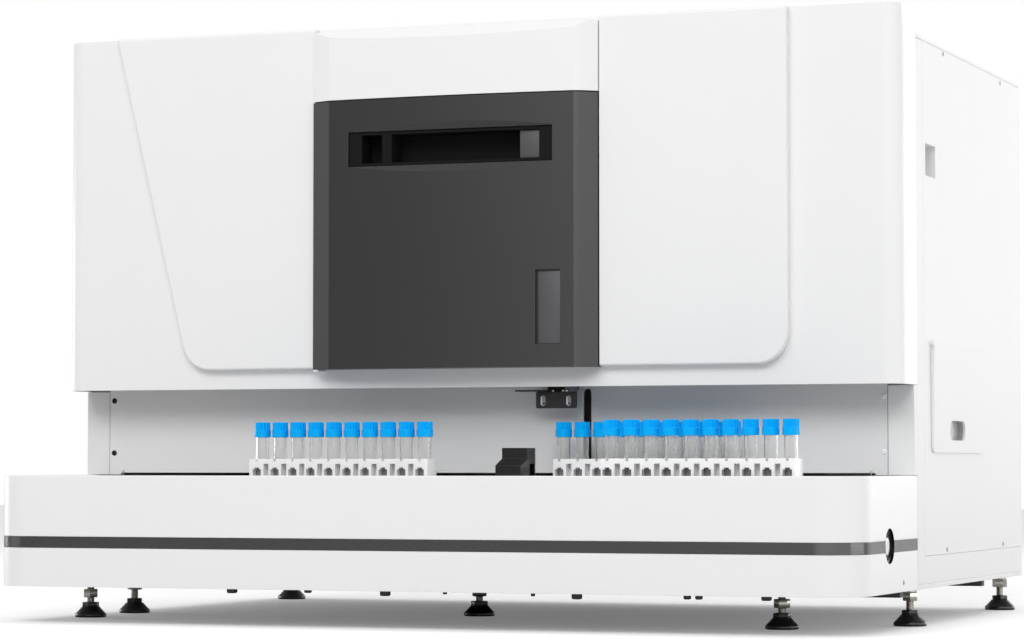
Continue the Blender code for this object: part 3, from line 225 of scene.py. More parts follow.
# Matt white paper: the added glow is only what lens and glass see of it, and the light that it
# throws back up at the machine is that of a greyer sheet.
paper = bpy.data.materials.new("matt_white_paper")
paper.use_nodes = True
sheet = paper.node_tree
sheet.nodes.clear()
path, looked_at = seen_directly(sheet)
tone = add(
    sheet,
    "ShaderNodeMix",
    {"Factor": looked_at, 6: linear("#D2D2D2"), 7: linear("#FCFCFC")},
    data_type="RGBA",
)
matt = add(sheet, "ShaderNodeBsdfDiffuse", {"Color": tone.outputs[2]})
lift = add(sheet, "ShaderNodeMath", {0: looked_at, 1: PAPER_GLOW}, operation="MULTIPLY")
shine = add(sheet, "ShaderNodeEmission", {"Strength": lift.outputs[0]})
both = add(sheet, "ShaderNodeAddShader", {0: matt.outputs[0], 1: shine.outputs[0]})
add(sheet, "ShaderNodeOutputMaterial", {"Surface": both.outputs[0]})
bench_mesh.materials.append(paper)


# Main frame and tray pan: folded and welded sheet steel, powder coated white. The frame
# carries every cover, and the pan is screwed to its front under the tray.
def surface(name, colour, roughness, grain, relief, drift=0.03, **sockets):
    """A coated or moulded surface: grain in mm across, relief in mm deep, slow drift of tone."""
    made = bpy.data.materials.new(name)
    made.use_nodes = True
    tree = made.node_tree
    shader = tree.nodes["Principled BSDF"]
    place = add(tree, "ShaderNodeTexCoord")
    fine = add(
        tree,
        "ShaderNodeTexNoise",
        {"Vector": place.outputs["Object"], "Scale": 1.0 / (grain * MM), "Detail": 2.0},
    )
    slow = add(
        tree,
        "ShaderNodeTexNoise",
        {"Vector": place.outputs["Object"], "Scale": 1.0 / (180 * MM), "Detail": 1.0},
    )
    light = linear(colour)
    dark = (*[v * (1.0 - drift) for v in light[:3]], 1.0)
    mixed = add(
        tree,
        "ShaderNodeMix",
        {"Factor": slow.outputs["Fac"], 6: light, 7: dark},
        data_type="RGBA",
    )
    speck = add(
        tree,
        "ShaderNodeMapRange",
        {"Value": fine.outputs["Fac"], "To Min": 1.0 - drift, "To Max": 1.0 + drift},
    )
    tint = add(
        tree,
        "ShaderNodeVectorMath",
        {0: mixed.outputs[2], "Scale": speck.outputs["Result"]},
        operation="SCALE",
    )
    tree.links.new(tint.outputs[0], shader.inputs["Base Color"])
    gloss = add(
        tree,
        "ShaderNodeMapRange",
        {"Value": fine.outputs["Fac"], "To Min": roughness - 0.04, "To Max": roughness + 0.04},
    )
    tree.links.new(gloss.outputs["Result"], shader.inputs["Roughness"])
    bump = add(
        tree,
        "ShaderNodeBump",
        {"Height": fine.outputs["Fac"], "Distance": relief * MM, "Strength": 1.0},
    )
    tree.links.new(bump.outputs["Normal"], shader.inputs["Normal"])
    for socket, value in sockets.items():
        shader.inputs[socket.replace("_", " ")].default_value = value
    return made


def keep(name, mesh, material, body, smooth=30.0):
    """A finished mesh as a named piece that rides on a body."""
    mesh.materials.clear()
    mesh.materials.append(material)
    mesh.shade_smooth()
    mesh.set_sharp_from_angle(angle=math.radians(smooth))
    piece = bpy.data.objects.new(name, mesh)
    bpy.context.scene.collection.objects.link(piece)
    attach(piece, body)
    return piece


def softened(piece, edge):
    """Rounds every edge of a piece by a small radius in mm."""
    round_off = piece.modifiers.new("edge", "BEVEL")
    round_off.width = edge * MM
    round_off.segments = 2
    round_off.limit_method = "ANGLE"
    round_off.angle_limit = math.radians(30)
    round_off.harden_normals = True


def rounded_copy(node, material, edge, wide=0.0, pick=None, smooth=14.0, body="housing"):
    """Stands for a CAD node: the same shape, with its edges rounded as the real piece's are.

    edge is the small radius of every edge in mm; wide is a larger one for the edges whose
    middle, in the machine's millimetres, pick says yes to.
    """
    shape = bmesh.new()
    shape.from_mesh(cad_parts[node].data)
    bmesh.ops.remove_doubles(shape, verts=shape.verts, dist=0.00002)
    bmesh.ops.dissolve_limit(
        shape,
        angle_limit=math.radians(0.4),
        verts=shape.verts,
        edges=shape.edges,
    )
    if wide:
        chosen = []
        for e in shape.edges:
            middle = (e.verts[0].co + e.verts[1].co) / 2
            at = (middle.x / MM, (middle.y - APRON_FRONT) / MM, middle.z / MM)
            if e.is_manifold and e.calc_face_angle() > math.radians(30) and pick(*at):
                chosen.append(e)
        bmesh.ops.bevel(
            shape,
            geom=chosen,
            offset=wide * MM,
            affect="EDGES",
            segments=5,
            profile=0.5,
            material=-1,
            clamp_overlap=True,
        )
    mesh = bpy.data.meshes.new(node + "_finished")
    shape.to_mesh(mesh)
    shape.free()
    piece = keep(node + "_finished", mesh, material, body, smooth)
    if edge:
        softened(piece, edge)
    flat = piece.modifiers.new("flat_faces", "WEIGHTED_NORMAL")
    flat.keep_sharp = True
    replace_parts(piece, node)
    return piece


# Polyester powder coat on steel: a soft sheen, with the faint orange peel of a baked coat,
# drawn about 1.5 mm across, coarser than the real 0.7 mm, so that it shows.
white_coat = surface("white_powder_coat", "#F1F1F1", 0.42, 1.5, 0.018, Specular_IOR_Level=0.05)
rounded_copy("main_frame", white_coat, 0.5)
rounded_copy("tray_pan", white_coat, 0.3)


# Levelling feet: a moulded pad with a hexagonal collar, a zinc-plated M8 stud that is moulded
# into it, and a lock nut; the outer feet at the back screw up against a turned boss.
THREAD_PITCH, THREAD_DEPTH, STUD_R = 1.25, 0.6, 4.0
NUT_ACROSS, NUT_HIGH, BOSS_R, BOSS_ROOM = 14.0, 8.8, 7.0, 8.0
NUT_LOW = {1: 21.0, 2: 25.3, 3: 25.3, 4: 21.0, 5: 21.0, 6: 25.3, 7: 25.3}
COLLAR_ACROSS, COLLAR_LOW, COLLAR_HIGH = 15.6, 10.2, 16.0
# Small shifts in X of single feet, which sit with some play in their slots.
FOOT_PLAY = {2: -2.7, 3: -2.5, 6: 2.0, 7: 2.0}
PAD_OUTLINE = (
    (0, 0), (15.2, 0), (16.4, 0.5), (16.6, 1.2), (16.6, 3.4), (16.3, 4.0), (15.6, 4.4),
    (10.6, 9.6), (9.6, 11.0), (0, 11.0),
)


def spun(outline, steps=48):
    """An outline of (radius, height) in mm turned full circle about Z, closed on the axis."""
    shape = bmesh.new()
    points = [shape.verts.new((r * MM, 0, h * MM)) for r, h in outline]
    edges = [shape.edges.new(pair) for pair in zip(points, points[1:])]
    if outline[0][0] > 0 and outline[-1][0] > 0:
        edges.append(shape.edges.new((points[-1], points[0])))
    bmesh.ops.spin(
        shape,
        geom=points + edges,
        cent=(0, 0, 0),
        axis=(0, 0, 1),
        angle=math.tau,
        steps=steps,
        use_merge=True,
    )
    bmesh.ops.remove_doubles(shape, verts=shape.verts, dist=1e-7)
    bmesh.ops.recalc_face_normals(shape, faces=shape.faces)
    return shape


def hexagonal(across, low, high, chamfer):
    """A hexagonal prism in mm across its flats, with its end edges broken."""
    shape = bmesh.new()
    radius = across / math.sqrt(3) * MM
    ring = bmesh.ops.create_circle(shape, cap_ends=True, segments=6, radius=radius)["verts"]
    bmesh.ops.translate(shape, verts=ring, vec=(0, 0, low * MM))
    grown = bmesh.ops.extrude_face_region(shape, geom=list(shape.faces))["geom"]
    top = [v for v in grown if isinstance(v, bmesh.types.BMVert)]
    bmesh.ops.translate(shape, verts=top, vec=(0, 0, (high - low) * MM))
    flat = [e for e in shape.edges if abs(e.verts[0].co.z - e.verts[1].co.z) < 1e-6]
    bmesh.ops.bevel(
        shape,
        geom=flat,
        offset=chamfer * MM,
        affect="EDGES",
        segments=2,
        profile=0.5,
        material=-1,
    )
    bmesh.ops.recalc_face_normals(shape, faces=shape.faces)
    return shape


def threaded(radius, pitch, depth, low, high, steps=24):
    """A threaded rod: a sawtooth outline turned once while it climbs one pitch."""
    shape = bmesh.new()
    turns = int((high - low) / pitch)
    outline = []
    for i in range(turns):
        outline += [(radius - depth, low + i * pitch), (radius, low + (i + 0.5) * pitch)]
    outline.append((radius - depth, low + turns * pitch))
    points = [shape.verts.new((r * MM, 0, h * MM)) for r, h in outline]
    edges = [shape.edges.new(pair) for pair in zip(points, points[1:])]
    bmesh.ops.spin(
        shape,
        geom=points + edges,
        cent=(0, 0, 0),
        axis=(0, 0, 1),
        dvec=(0, 0, pitch * MM / steps),
        angle=math.tau,
        steps=steps,
    )
    bmesh.ops.remove_doubles(shape, verts=shape.verts, dist=1e-6)
    bmesh.ops.holes_fill(shape, edges=[e for e in shape.edges if e.is_boundary])
    bmesh.ops.recalc_face_normals(shape, faces=shape.faces)
    return shape


def set_in(shape, x, y, z, turn=0.0, facing="up"):
    """Puts a shape made about Z at a place, turned about itself and then to face a side."""
    tip = {
        "up": Matrix.Identity(4),
        "front": Matrix.Rotation(math.radians(90), 4, "X"),
        "right": Matrix.Rotation(math.radians(90), 4, "Y"),
        "left": Matrix.Rotation(math.radians(-90), 4, "Y"),
        "back": Matrix.Rotation(math.radians(-90), 4, "X"),
        "down": Matrix.Rotation(math.radians(180), 4, "X"),
    }[facing]
    move = Matrix.Translation(spot(x, y, z)) @ tip @ Matrix.Rotation(turn, 4, "Z")
    bmesh.ops.transform(shape, matrix=move, verts=shape.verts)
    return shape


def gathered(*shapes):
    """Several shapes as one mesh."""
    whole = bmesh.new()
    mesh = bpy.data.meshes.new("gathered")
    for shape in shapes:
        shape.to_mesh(mesh)
        whole.from_mesh(mesh)
        shape.free()
        mesh.clear_geometry()
    whole.to_mesh(mesh)
    whole.free()
    return mesh


# Filled nylon: near black, satin, with the fine even texture of a spark-eroded mould.
black_nylon = surface("moulded_black_nylon", "#0A0A0A", 0.30, 0.8, 0.012)
# Zinc plate on steel: a slightly warm grey metal with a brushed, uneven gloss.
zinc_plate = surface("zinc_plated_steel", "#B9B5AE", 0.20, 1.2, 0.01, 0.08, Metallic=1.0)

base_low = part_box("tray_apron")[0].z / MM
for number in range(1, 8):
    foot = f"levelling_foot_{number}"
    low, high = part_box(foot)
    middle = (low + high) / 2
    x = middle.x / MM + FOOT_PLAY.get(number, 0.0)
    y = (middle.y - APRON_FRONT) / MM
    twist = 0.2 * number
    pad = set_in(spun(PAD_OUTLINE, 64), x, y, 0)
    collar = hexagonal(COLLAR_ACROSS, COLLAR_LOW, COLLAR_HIGH, 0.5)
    mesh = gathered(pad, set_in(collar, x, y, 0, twist))
    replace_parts(keep(f"foot_pad_{number}", mesh, black_nylon, "housing"), foot)
    stud = threaded(STUD_R, THREAD_PITCH, THREAD_DEPTH, COLLAR_HIGH - 2, base_low - 1.5)
    mesh = gathered(set_in(stud, x, y, 0, twist))
    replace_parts(keep(f"foot_stud_{number}", mesh, zinc_plate, "housing", 50), foot)
    nut_top = NUT_LOW[number] + NUT_HIGH
    nut = hexagonal(NUT_ACROSS, NUT_LOW[number], nut_top, 0.7)
    parts = [set_in(nut, x, y, 0, 2 * twist)]
    if base_low - nut_top < BOSS_ROOM:
        boss = spun([(0, nut_top), (BOSS_R, nut_top), (BOSS_R, base_low), (0, base_low)], 40)
        parts.append(set_in(boss, x, y, 0))
    mesh = gathered(*parts)
    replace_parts(keep(f"foot_nut_{number}", mesh, zinc_plate, "housing"), foot)


# Under the base: two short black rubber bars across the right side, and the ends of rubber
# plugs and cable clips that hang just below the plate.
# Moulded rubber: very dark grey and matt, with a fine bloom.
black_rubber = surface("black_rubber", "#3A3A3B", 0.60, 1.0, 0.02)


def slab(low, high, edge=0.0):
    """A block between two corners in mm, with its edges rounded."""
    shape = bmesh.new()
    a, b = spot(*low), spot(*high)
    size = Matrix.Diagonal((*(b - a), 1.0))
    bmesh.ops.create_cube(shape, size=1.0, matrix=Matrix.Translation((a + b) / 2) @ size)
    if edge:
        bmesh.ops.bevel(
            shape,
            geom=list(shape.edges),
            offset=edge * MM,
            affect="EDGES",
            segments=3,
            profile=0.5,
            material=-1,
        )
    return shape


SKIDS, SKID_LOW = (((405, 184), (452, 198)), ((418, 526), (455, 540))), 31.5
# Each plug: its middle and its half width. A wider one hangs lower.
PLUG_LOW, PLUG_HANG = 35.6, 0.85
PLUGS = (
    (-209, 55, 4.5), (-127.5, 61, 3.2), (-34, 40, 4.5), (27, 47, 1.8), (126, 30, 1.8),
    (171, 31, 4.5), (280, 40, 3.2), (291.7, 40, 3.2), (353, 60, 4.5),
)
skids = [slab((x0, y0, SKID_LOW), (x1, y1, base_low), 1.0) for (x0, y0), (x1, y1) in SKIDS]
plugs = []
for x, y, half in PLUGS:
    hang = PLUG_LOW - PLUG_HANG * half
    plugs.append(slab((x - half, y - half, hang), (x + half, y + half, base_low), 0.4 * half))
keep("base_skids", gathered(*skids), black_rubber, "housing")
keep("base_plugs", gathered(*plugs), black_rubber, "housing")


# Tray apron: one injection-moulded white cover that wraps round the front and both sides of
# the tray, screwed to the pan from below, with a dark trim band pressed into its groove.
# Moulded ABS: white with a soft gloss and a very fine eroded grain, drawn 1.2 mm across.
white_abs = surface("moulded_white_abs", "#F4F4F4", 0.36, 1.2, 0.010, 0.02, Specular_IOR_Level=0.2)
APRON_TOP, APRON_EDGE = 151.0, 1.3


def apron_rim(x, y, z):
    return abs(z - APRON_TOP) < 0.1


rounded_copy("tray_apron", white_abs, 0.25, APRON_EDGE, apron_rim)
# Polished dark acrylic strip: it mirrors the bright room at the corner and along the side.
trim_acrylic = surface("dark_trim_acrylic", "#131314", 0.16, 4.0, 0.002, 0.02, IOR=2.05)
rounded_copy("apron_band", trim_acrylic, 0.2, smooth=22.0)
rounded_copy("apron_band_end", trim_acrylic, 0.2)


# Power button: a black bezel with a stepped dish, a white cap that is pressed in the
# middle of it, and a thin light guide round the cap.
button_low, button_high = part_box("power_button")
button_middle = (button_low + button_high) / 2
BUTTON_Y = (button_middle.y - APRON_FRONT) / MM
BUTTON_Z = button_middle.z / MM
# How far the machine's side faces, the apron's among them, stand from its middle.
SIDE = 460.0
bezel_outline = [
    (9.3, -8.8), (13.9, -8.8), (13.9, -2.4), (17.1, -2.4), (17.1, -0.1), (16.9, 0.0),
    (16.7, -0.1), (16.5, -1.8), (14.0, -2.2), (13.0, -3.2), (9.3, -3.2),
]
# Smooth black ABS with a low gloss.
piano_black = surface("smooth_black_abs", "#070707", 0.25, 3.0, 0.001, Specular_IOR_Level=0.15)
bezel = set_in(spun(bezel_outline, 72), SIDE, BUTTON_Y, BUTTON_Z, facing="right")
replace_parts(keep("power_bezel_ring", gathered(bezel), piano_black, "housing"), "power_bezel")
cap_outline = [
    (0, -4.6), (8.1, -4.6), (8.1, -2.9), (7.9, -2.6), (7.4, -2.5), (4, -2.6), (0, -2.7),
]
button_cap = set_in(spun(cap_outline, 64), SIDE, BUTTON_Y, BUTTON_Z, facing="right")
# Polished ABS: a cool white with a clear gloss.
white_cap = surface("polished_white_abs", "#F5F6FA", 0.18, 3.0, 0.001)
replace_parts(keep("power_button_cap", gathered(button_cap), white_cap, "button"), "power_button")
guide_outline = [(8.2, -4.4), (8.9, -4.4), (8.9, -3.0), (8.7, -2.8), (8.4, -2.8), (8.2, -2.9)]
light_guide = set_in(spun(guide_outline, 64), SIDE, BUTTON_Y, BUTTON_Z, facing="right")
# Tinted light guide: clear acrylic dyed a pale violet blue.
violet_acrylic = surface("violet_light_guide", "#A4AAD8", 0.25, 3.0, 0.001)
guide_piece = keep("power_button_guide", gathered(light_guide), violet_acrylic, "button")
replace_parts(guide_piece, "power_button")


# Rack tray and turning guide: a vacuum-formed pale tray with raised rails, and a machined
# black guide block screwed to the island in the middle of it.
# Vacuum-formed ABS: an even pale white with a dull sheen.
tray_pale = surface("formed_pale_abs", "#F0F0F1", 0.40, 1.5, 0.012)
rounded_copy("rack_tray", tray_pale, 0.4)
# Machined acetal: black and waxy, with fine cutter marks.
black_pom = surface("machined_black_acetal", "#0B0B0C", 0.28, 0.7, 0.008)
rounded_copy("rack_guide", black_pom, 0.4)


# Sample racks: a white moulded bar with ten round seats, each with a stepped window in front
# that the reader looks through, and a slot between each two; ten capped tubes stand in it.
# Each rack: the X of its first tube, the Y of its tubes, what sticks out past them, its body.
RACKS = (
    ("rack_left", -195.3, 97.0, 8.3, "returner"),
    ("rack_right_front", 204.3, 38.0, 6.6, "feeder"),
    ("rack_right_back", 104.8, 176.0, 6.8, "housing"),
)
PITCH, TUBES, TUBE_R, TUBE_WALL = 20.0, 10, 6.7, 1.0
RACK_TOP, CAP_LOW, CAP_STEP, CAP_TOP = 167.7, 189.8, 197.6, 205.2
WINDOW_TOP, WINDOW_PEAK, SLOT_TOP, SLEEVE_R = 157.2, 159.0, 162.8, 7.2
TUBE_FOOT, RACK_FRONT, RACK_DEEP = 108.0, 14.0, 25.0
WINDOW_LOW, WINDOW_HALF, PEAK_HALF, WINDOW_DEEP = 112.0, 4.6, 2.6, 9.0
SLOT_SPAN, SLOT_DEEP, NOTCH_HALF, NOTCH_DEEP = (7.6, 13.3), 10.5, 1.3, 2.6


def hollowed(shape, *tools):
    """Takes the tools from a shape with exact Booleans, and gives the mesh that is left."""
    meshes = [gathered(item) for item in (shape, *tools)]
    things = [bpy.data.objects.new("stock", mesh) for mesh in meshes]
    for thing in things:
        bpy.context.scene.collection.objects.link(thing)
    for tool in things[1:]:
        step = things[0].modifiers.new("cut", "BOOLEAN")
        step.operation = "DIFFERENCE"
        step.solver = "EXACT"
        step.object = tool
    bpy.context.view_layer.update()
    result = bpy.data.meshes.new_from_object(
        things[0].evaluated_get(bpy.context.evaluated_depsgraph_get())
    )
    for thing in things:
        bpy.data.objects.remove(thing)
    return result


def again(mesh):
    """A finished mesh, to cut with or to copy."""
    shape = bmesh.new()
    shape.from_mesh(mesh)
    return shape


# Moulded polypropylene: bright white and smooth, slightly waxy.
rack_white = surface("moulded_white_polypropylene", "#FCFCFC", 0.30, 1.0, 0.006, 0.015)
# Grey sleeves pressed into the seats round the tubes, as painted shade: they darken what the
# windows show inside the rack.
grey_sleeve_painted_shade = surface("grey_nylon_painted_window_shade", "#8C8C8E", 0.45, 0.8, 0.008)
# Blown polystyrene tube: clear, with a faint grey cast, glossy inside and out.
tube_clear = bpy.data.materials.new("clear_polystyrene")
tube_clear.use_nodes = True
clear_tree = tube_clear.node_tree
clear_shader = clear_tree.nodes["Principled BSDF"]
clear_shader.inputs["Base Color"].default_value = linear("#F7F7F6")
clear_shader.inputs["Transmission Weight"].default_value = 0.9
clear_shader.inputs["IOR"].default_value = 1.45
clear_place = add(clear_tree, "ShaderNodeTexCoord")
flow = add(
    clear_tree,
    "ShaderNodeTexNoise",
    {"Vector": clear_place.outputs["Object"], "Scale": 1.0 / (6 * MM), "Detail": 1.0},
)
haze = add(
    clear_tree,
    "ShaderNodeMapRange",
    {"Value": flow.outputs["Fac"], "To Min": 0.03, "To Max": 0.09},
)
clear_tree.links.new(haze.outputs["Result"], clear_shader.inputs["Roughness"])
# Moulded polyethylene cap: saturated sky blue, waxy, with little gloss.
cap_blue = surface("blue_polyethylene", "#00B2FF", 0.26, 1.0, 0.004, 0.03, Specular_IOR_Level=0.12)

# The tube's section: down its round foot outside, up the wall, and back inside.
tube_outline = [(0, TUBE_FOOT)]
for step in range(1, 7):
    angle = math.radians(15 * step)
    outer = (TUBE_R * math.sin(angle), TUBE_FOOT + TUBE_R * (1 - math.cos(angle)))
    tube_outline.append(outer)
tube_outline += [(TUBE_R, CAP_LOW + 4), (TUBE_R - TUBE_WALL, CAP_LOW + 4)]
inner_r = TUBE_R - TUBE_WALL
for step in range(6, 0, -1):
    angle = math.radians(15 * step)
    inner = (inner_r * math.sin(angle), TUBE_FOOT + TUBE_R - inner_r * math.cos(angle))
    tube_outline.append(inner)
tube_outline.append((0, TUBE_FOOT + TUBE_WALL))
RIBS, RIB_R, RIB_ROOT, CAP_R = 14, 7.95, 6.9, 8.45


def tube_cap():
    """A cap: a smooth skirt below, and a ribbed grip above with a broken top edge."""
    skirt = spun(
        [
            (0, CAP_LOW + 3), (6.5, CAP_LOW + 3), (6.8, CAP_LOW), (7.9, CAP_LOW),
            (CAP_R, CAP_LOW + 0.4), (CAP_R, CAP_STEP - 0.5), (7.9, CAP_STEP), (0, CAP_STEP),
        ],
        52,
    )
    grip = bmesh.new()
    ring = bmesh.ops.create_circle(
        grip,
        cap_ends=True,
        segments=RIBS * 4,
        radius=RIB_R * MM,
        matrix=Matrix.Translation((0, 0, (CAP_STEP - 0.1) * MM)),
    )["verts"]
    for i, v in enumerate(ring):
        if i % 4 in (0, 3):
            v.co.x *= RIB_ROOT / RIB_R
            v.co.y *= RIB_ROOT / RIB_R
    grown = bmesh.ops.extrude_face_region(grip, geom=list(grip.faces))["geom"]
    rim = [v for v in grown if isinstance(v, bmesh.types.BMVert)]
    bmesh.ops.translate(grip, verts=rim, vec=(0, 0, (CAP_TOP - CAP_STEP - 0.4) * MM))
    bmesh.ops.recalc_face_normals(grip, faces=grip.faces)
    top = [f for f in grip.faces if len(f.verts) > 4 and f.normal.z > 0.5]
    bmesh.ops.inset_region(grip, faces=top, thickness=0.5 * MM, depth=0.45 * MM)
    bmesh.ops.inset_region(grip, faces=top, thickness=0.9 * MM, depth=0.0)
    bmesh.ops.inset_region(grip, faces=top, thickness=0.3 * MM, depth=-0.8 * MM)
    return skirt, grip


for rack_name, first, lane, overhang, carrier in RACKS:
    low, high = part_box(rack_name)
    x0, x1 = first - overhang, high.x / MM
    bottom = low.z / MM
    front = lane - RACK_FRONT
    back = front + RACK_DEEP
    centres = [first + PITCH * i for i in range(TUBES)]
    windows, peaks, slots, notches = [], [], [], []
    for x in centres:
        window_back = front + WINDOW_DEEP
        windows.append(
            slab(
                (x - WINDOW_HALF, front - 5, WINDOW_LOW),
                (x + WINDOW_HALF, window_back, WINDOW_TOP),
            )
        )
        peaks.append(
            slab(
                (x - PEAK_HALF, front - 6, WINDOW_LOW - 1),
                (x + PEAK_HALF, window_back + 0.1, WINDOW_PEAK),
            )
        )
        notches.append(
            slab(
                (x - NOTCH_HALF, front - 5, RACK_TOP - NOTCH_DEEP),
                (x + NOTCH_HALF, back + 5, RACK_TOP + 5),
            )
        )
    for x in centres[:-1]:
        slots.append(
            slab(
                (x + SLOT_SPAN[0], front - 5, bottom - 5),
                (x + SLOT_SPAN[1], front + SLOT_DEEP, SLOT_TOP),
            )
        )
    seat_low = TUBE_FOOT - 1
    seat_outline = [
        (0, seat_low), (5, seat_low), (SLEEVE_R, seat_low + 4), (SLEEVE_R, 175), (0, 175),
    ]
    seats = [set_in(spun(seat_outline, 40), x, lane, 0) for x in centres]
    stock = slab((x0, front, bottom), (x1, back, RACK_TOP), 0.5)
    tools = [gathered(*group) for group in (windows, peaks, slots, notches, seats)]
    mesh = hollowed(stock, *[again(tool) for tool in tools])
    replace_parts(keep(rack_name + "_bar", mesh, rack_white, carrier), rack_name)
    # The sleeves' grey paints in the shade seen through each window.
    sleeve_outline = [
        (TUBE_R + 0.1, seat_low + 5),
        (SLEEVE_R - 0.05, seat_low + 5),
        (SLEEVE_R - 0.05, RACK_TOP - 2.8),
        (TUBE_R + 0.1, RACK_TOP - 2.8),
    ]
    sleeves = [set_in(spun(sleeve_outline, 40), x, lane, 0) for x in centres]
    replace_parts(keep(rack_name + "_sleeves", gathered(*sleeves), grey_sleeve_painted_shade, carrier), rack_name)
    tubes = [set_in(spun(tube_outline, 40), x, lane, 0) for x in centres]
    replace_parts(keep(rack_name + "_tubes", gathered(*tubes), tube_clear, carrier, 60), rack_name)
    caps = []
    for i, x in enumerate(centres):
        for part in tube_cap():
            caps.append(set_in(part, x, lane, 0, 0.7 * i))
    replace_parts(keep(rack_name + "_caps", gathered(*caps), cap_blue, carrier, 25), rack_name)


# Carriages: folded tongues of zinc-plated steel on slides under the tray. They come up through
# the slots of its floor and push the racks along.
rounded_copy("feed_carriage", zinc_plate, 0.4, body="feeder")
rounded_copy("return_carriage", zinc_plate, 0.4, body="returner")


# Sampling bay: a folded white back panel with the needle slot, and a corner strip at each side,
# held by pan-head screws; those on the left are blackened, those on the right are zinc plated,
# drawn in polished white as a painted highlight of their bright heads.
# The bay's back panel and left strip have the same white coat drawn greyer, as painted shade under
# the cover; the right strip keeps the plain white.
bay_coat_painted_shade = surface("white_coat_greyed_for_bay_shade", "#E8E8E8", 0.42, 1.5, 0.018, Specular_IOR_Level=0.15)
rounded_copy("bay_back_panel", bay_coat_painted_shade, 0.3)
rounded_copy("bay_column_left", bay_coat_painted_shade, 0.4)
rounded_copy("bay_column_right", white_coat, 0.4)
BAY_Y = 214.0
BAY_SCREWS = ((-427.2, 231.0), (-427.2, 174.7), (429.2, 230.0), (429.2, 174.4))
FOOT_PIN_X, FOOT_PIN_Z = (-415.9, 415.9), (150.5, 156.1)


def screw_head(radius, high):
    """A domed head with a cross recess."""
    outline = [(0, 0), (radius, 0), (radius, high * 0.35)]
    outline += [
        (radius * math.cos(math.radians(a)), high * (0.35 + 0.65 * math.sin(math.radians(a))))
        for a in (30, 60)
    ]
    outline.append((0, high))
    head = spun(outline, 32)
    arms = []
    for turn in (0, 90):
        arm = bmesh.new()
        bmesh.ops.create_cube(arm, size=1.0)
        size = Matrix.Diagonal((radius * 1.1 * MM, radius * 0.26 * MM, high * MM, 1.0))
        lift = Matrix.Translation((0, 0, high * 0.95 * MM))
        spin = Matrix.Rotation(math.radians(turn), 4, "Z")
        bmesh.ops.transform(arm, matrix=lift @ spin @ size, verts=arm.verts)
        arms.append(arm)
    return hollowed(head, *arms)


def screws(name, material, radius, high, facing, places):
    """Screw heads of one kind, each turned a little differently, as fitted by hand."""
    pattern = screw_head(radius, high)
    heads = []
    for i, place in enumerate(places):
        heads.append(set_in(again(pattern), *place, turn=0.9 * i, facing=facing))
    return keep(name, gathered(*heads), material, "housing")


# Blackened zinc: a dull near-black metal.
black_zinc = surface("blackened_zinc_plate", "#26272A", 0.32, 1.0, 0.01, Metallic=0.8)
left_places = [(x, BAY_Y, z) for x, z in BAY_SCREWS if x < 0]
right_places = [(x, BAY_Y, z) for x, z in BAY_SCREWS if x > 0]
screws("bay_screws_left", black_zinc, 2.9, 1.5, "front", left_places)
# The right heads are zinc; their white finish is a painted highlight.
screws("bay_screws_right", white_cap, 2.9, 1.5, "front", right_places)
foot_pins = [
    slab((x - 0.6, BAY_Y - 1.3, FOOT_PIN_Z[0]), (x + 0.6, BAY_Y + 0.2, FOOT_PIN_Z[1]), 0.2)
    for x in FOOT_PIN_X
]
keep("bay_foot_pins", gathered(*foot_pins), zinc_plate, "housing")


# Front cover: one large moulding in white ABS, rounded at both sides, hung on the front of the
# frame. The rims of its outer skin are rounded a little more than its other edges.
COVER_TOP, COVER_LOW = 616.0, 241.0
COVER_SKIN_BACK, COVER_SKIN_SIDE = 176.0, 459.0


def cover_rim(x, y, z):
    at_rim = z > COVER_TOP - 0.1 or z < COVER_LOW + 0.1
    return at_rim and (y < COVER_SKIN_BACK or abs(x) > COVER_SKIN_SIDE)


rounded_copy("front_cover", white_abs, 0.3, 1.2, cover_rim)


# Raised panels: two flat mouldings in white ABS, clipped to the front cover on each side of
# the door. Their faces are softly rounded, save along the edges beside the door.
PANEL_FRONT, DOOR_SIDE = 153.0, (-170.0, 165.0)
# The right panel reaches a little further in: what lies left of the first goes to the second.
PANEL_INNER = (157.0, 151.4)


def panel_face(x, y, z):
    return abs(y - PANEL_FRONT) < 0.1 and not DOOR_SIDE[0] < x < DOOR_SIDE[1]


rounded_copy("raised_panel_left", white_abs, 0.0, 2.6, panel_face)
right_panel = rounded_copy("raised_panel_right", white_abs, 0.0, 2.6, panel_face)
for corner in right_panel.data.vertices:
    if corner.co.x < PANEL_INNER[0] * MM:
        corner.co.x = PANEL_INNER[1] * MM


# Front door: a dark grained moulding on two hidden pins, with the strip port's dark liner
# behind its upper window and a moulded finger pull at its right edge.
# Grained ABS: near black with a low sheen, the grain drawn 0.9 mm across.
door_abs = surface("grained_dark_abs", "#272728", 0.34, 0.9, 0.02, 0.06, IOR=1.6)
MODULE_LEFT, MODULE_BACK, MODULE_EDGE = -161.7, 162.4, 147.0
CHAMFER, CROWN_Y, RETURN = (-140.0, 138.0), 132.0, (129.6, 137.0)
RETURN_END = (150.2, 152.0)
DOOR_LOW, DOOR_HIGH, WALL = 260.4, 537.6, 3.0
PORT_X, PORT_Z, PORT_DEEP, PORT_FLARE = (-117.4, 107.0), (468.7, 504.6), 136.0, 9.5
PULL_X, PULL_Z, PULL_DEEP = (89.3, 115.6), (283.2, 358.5), 139.0


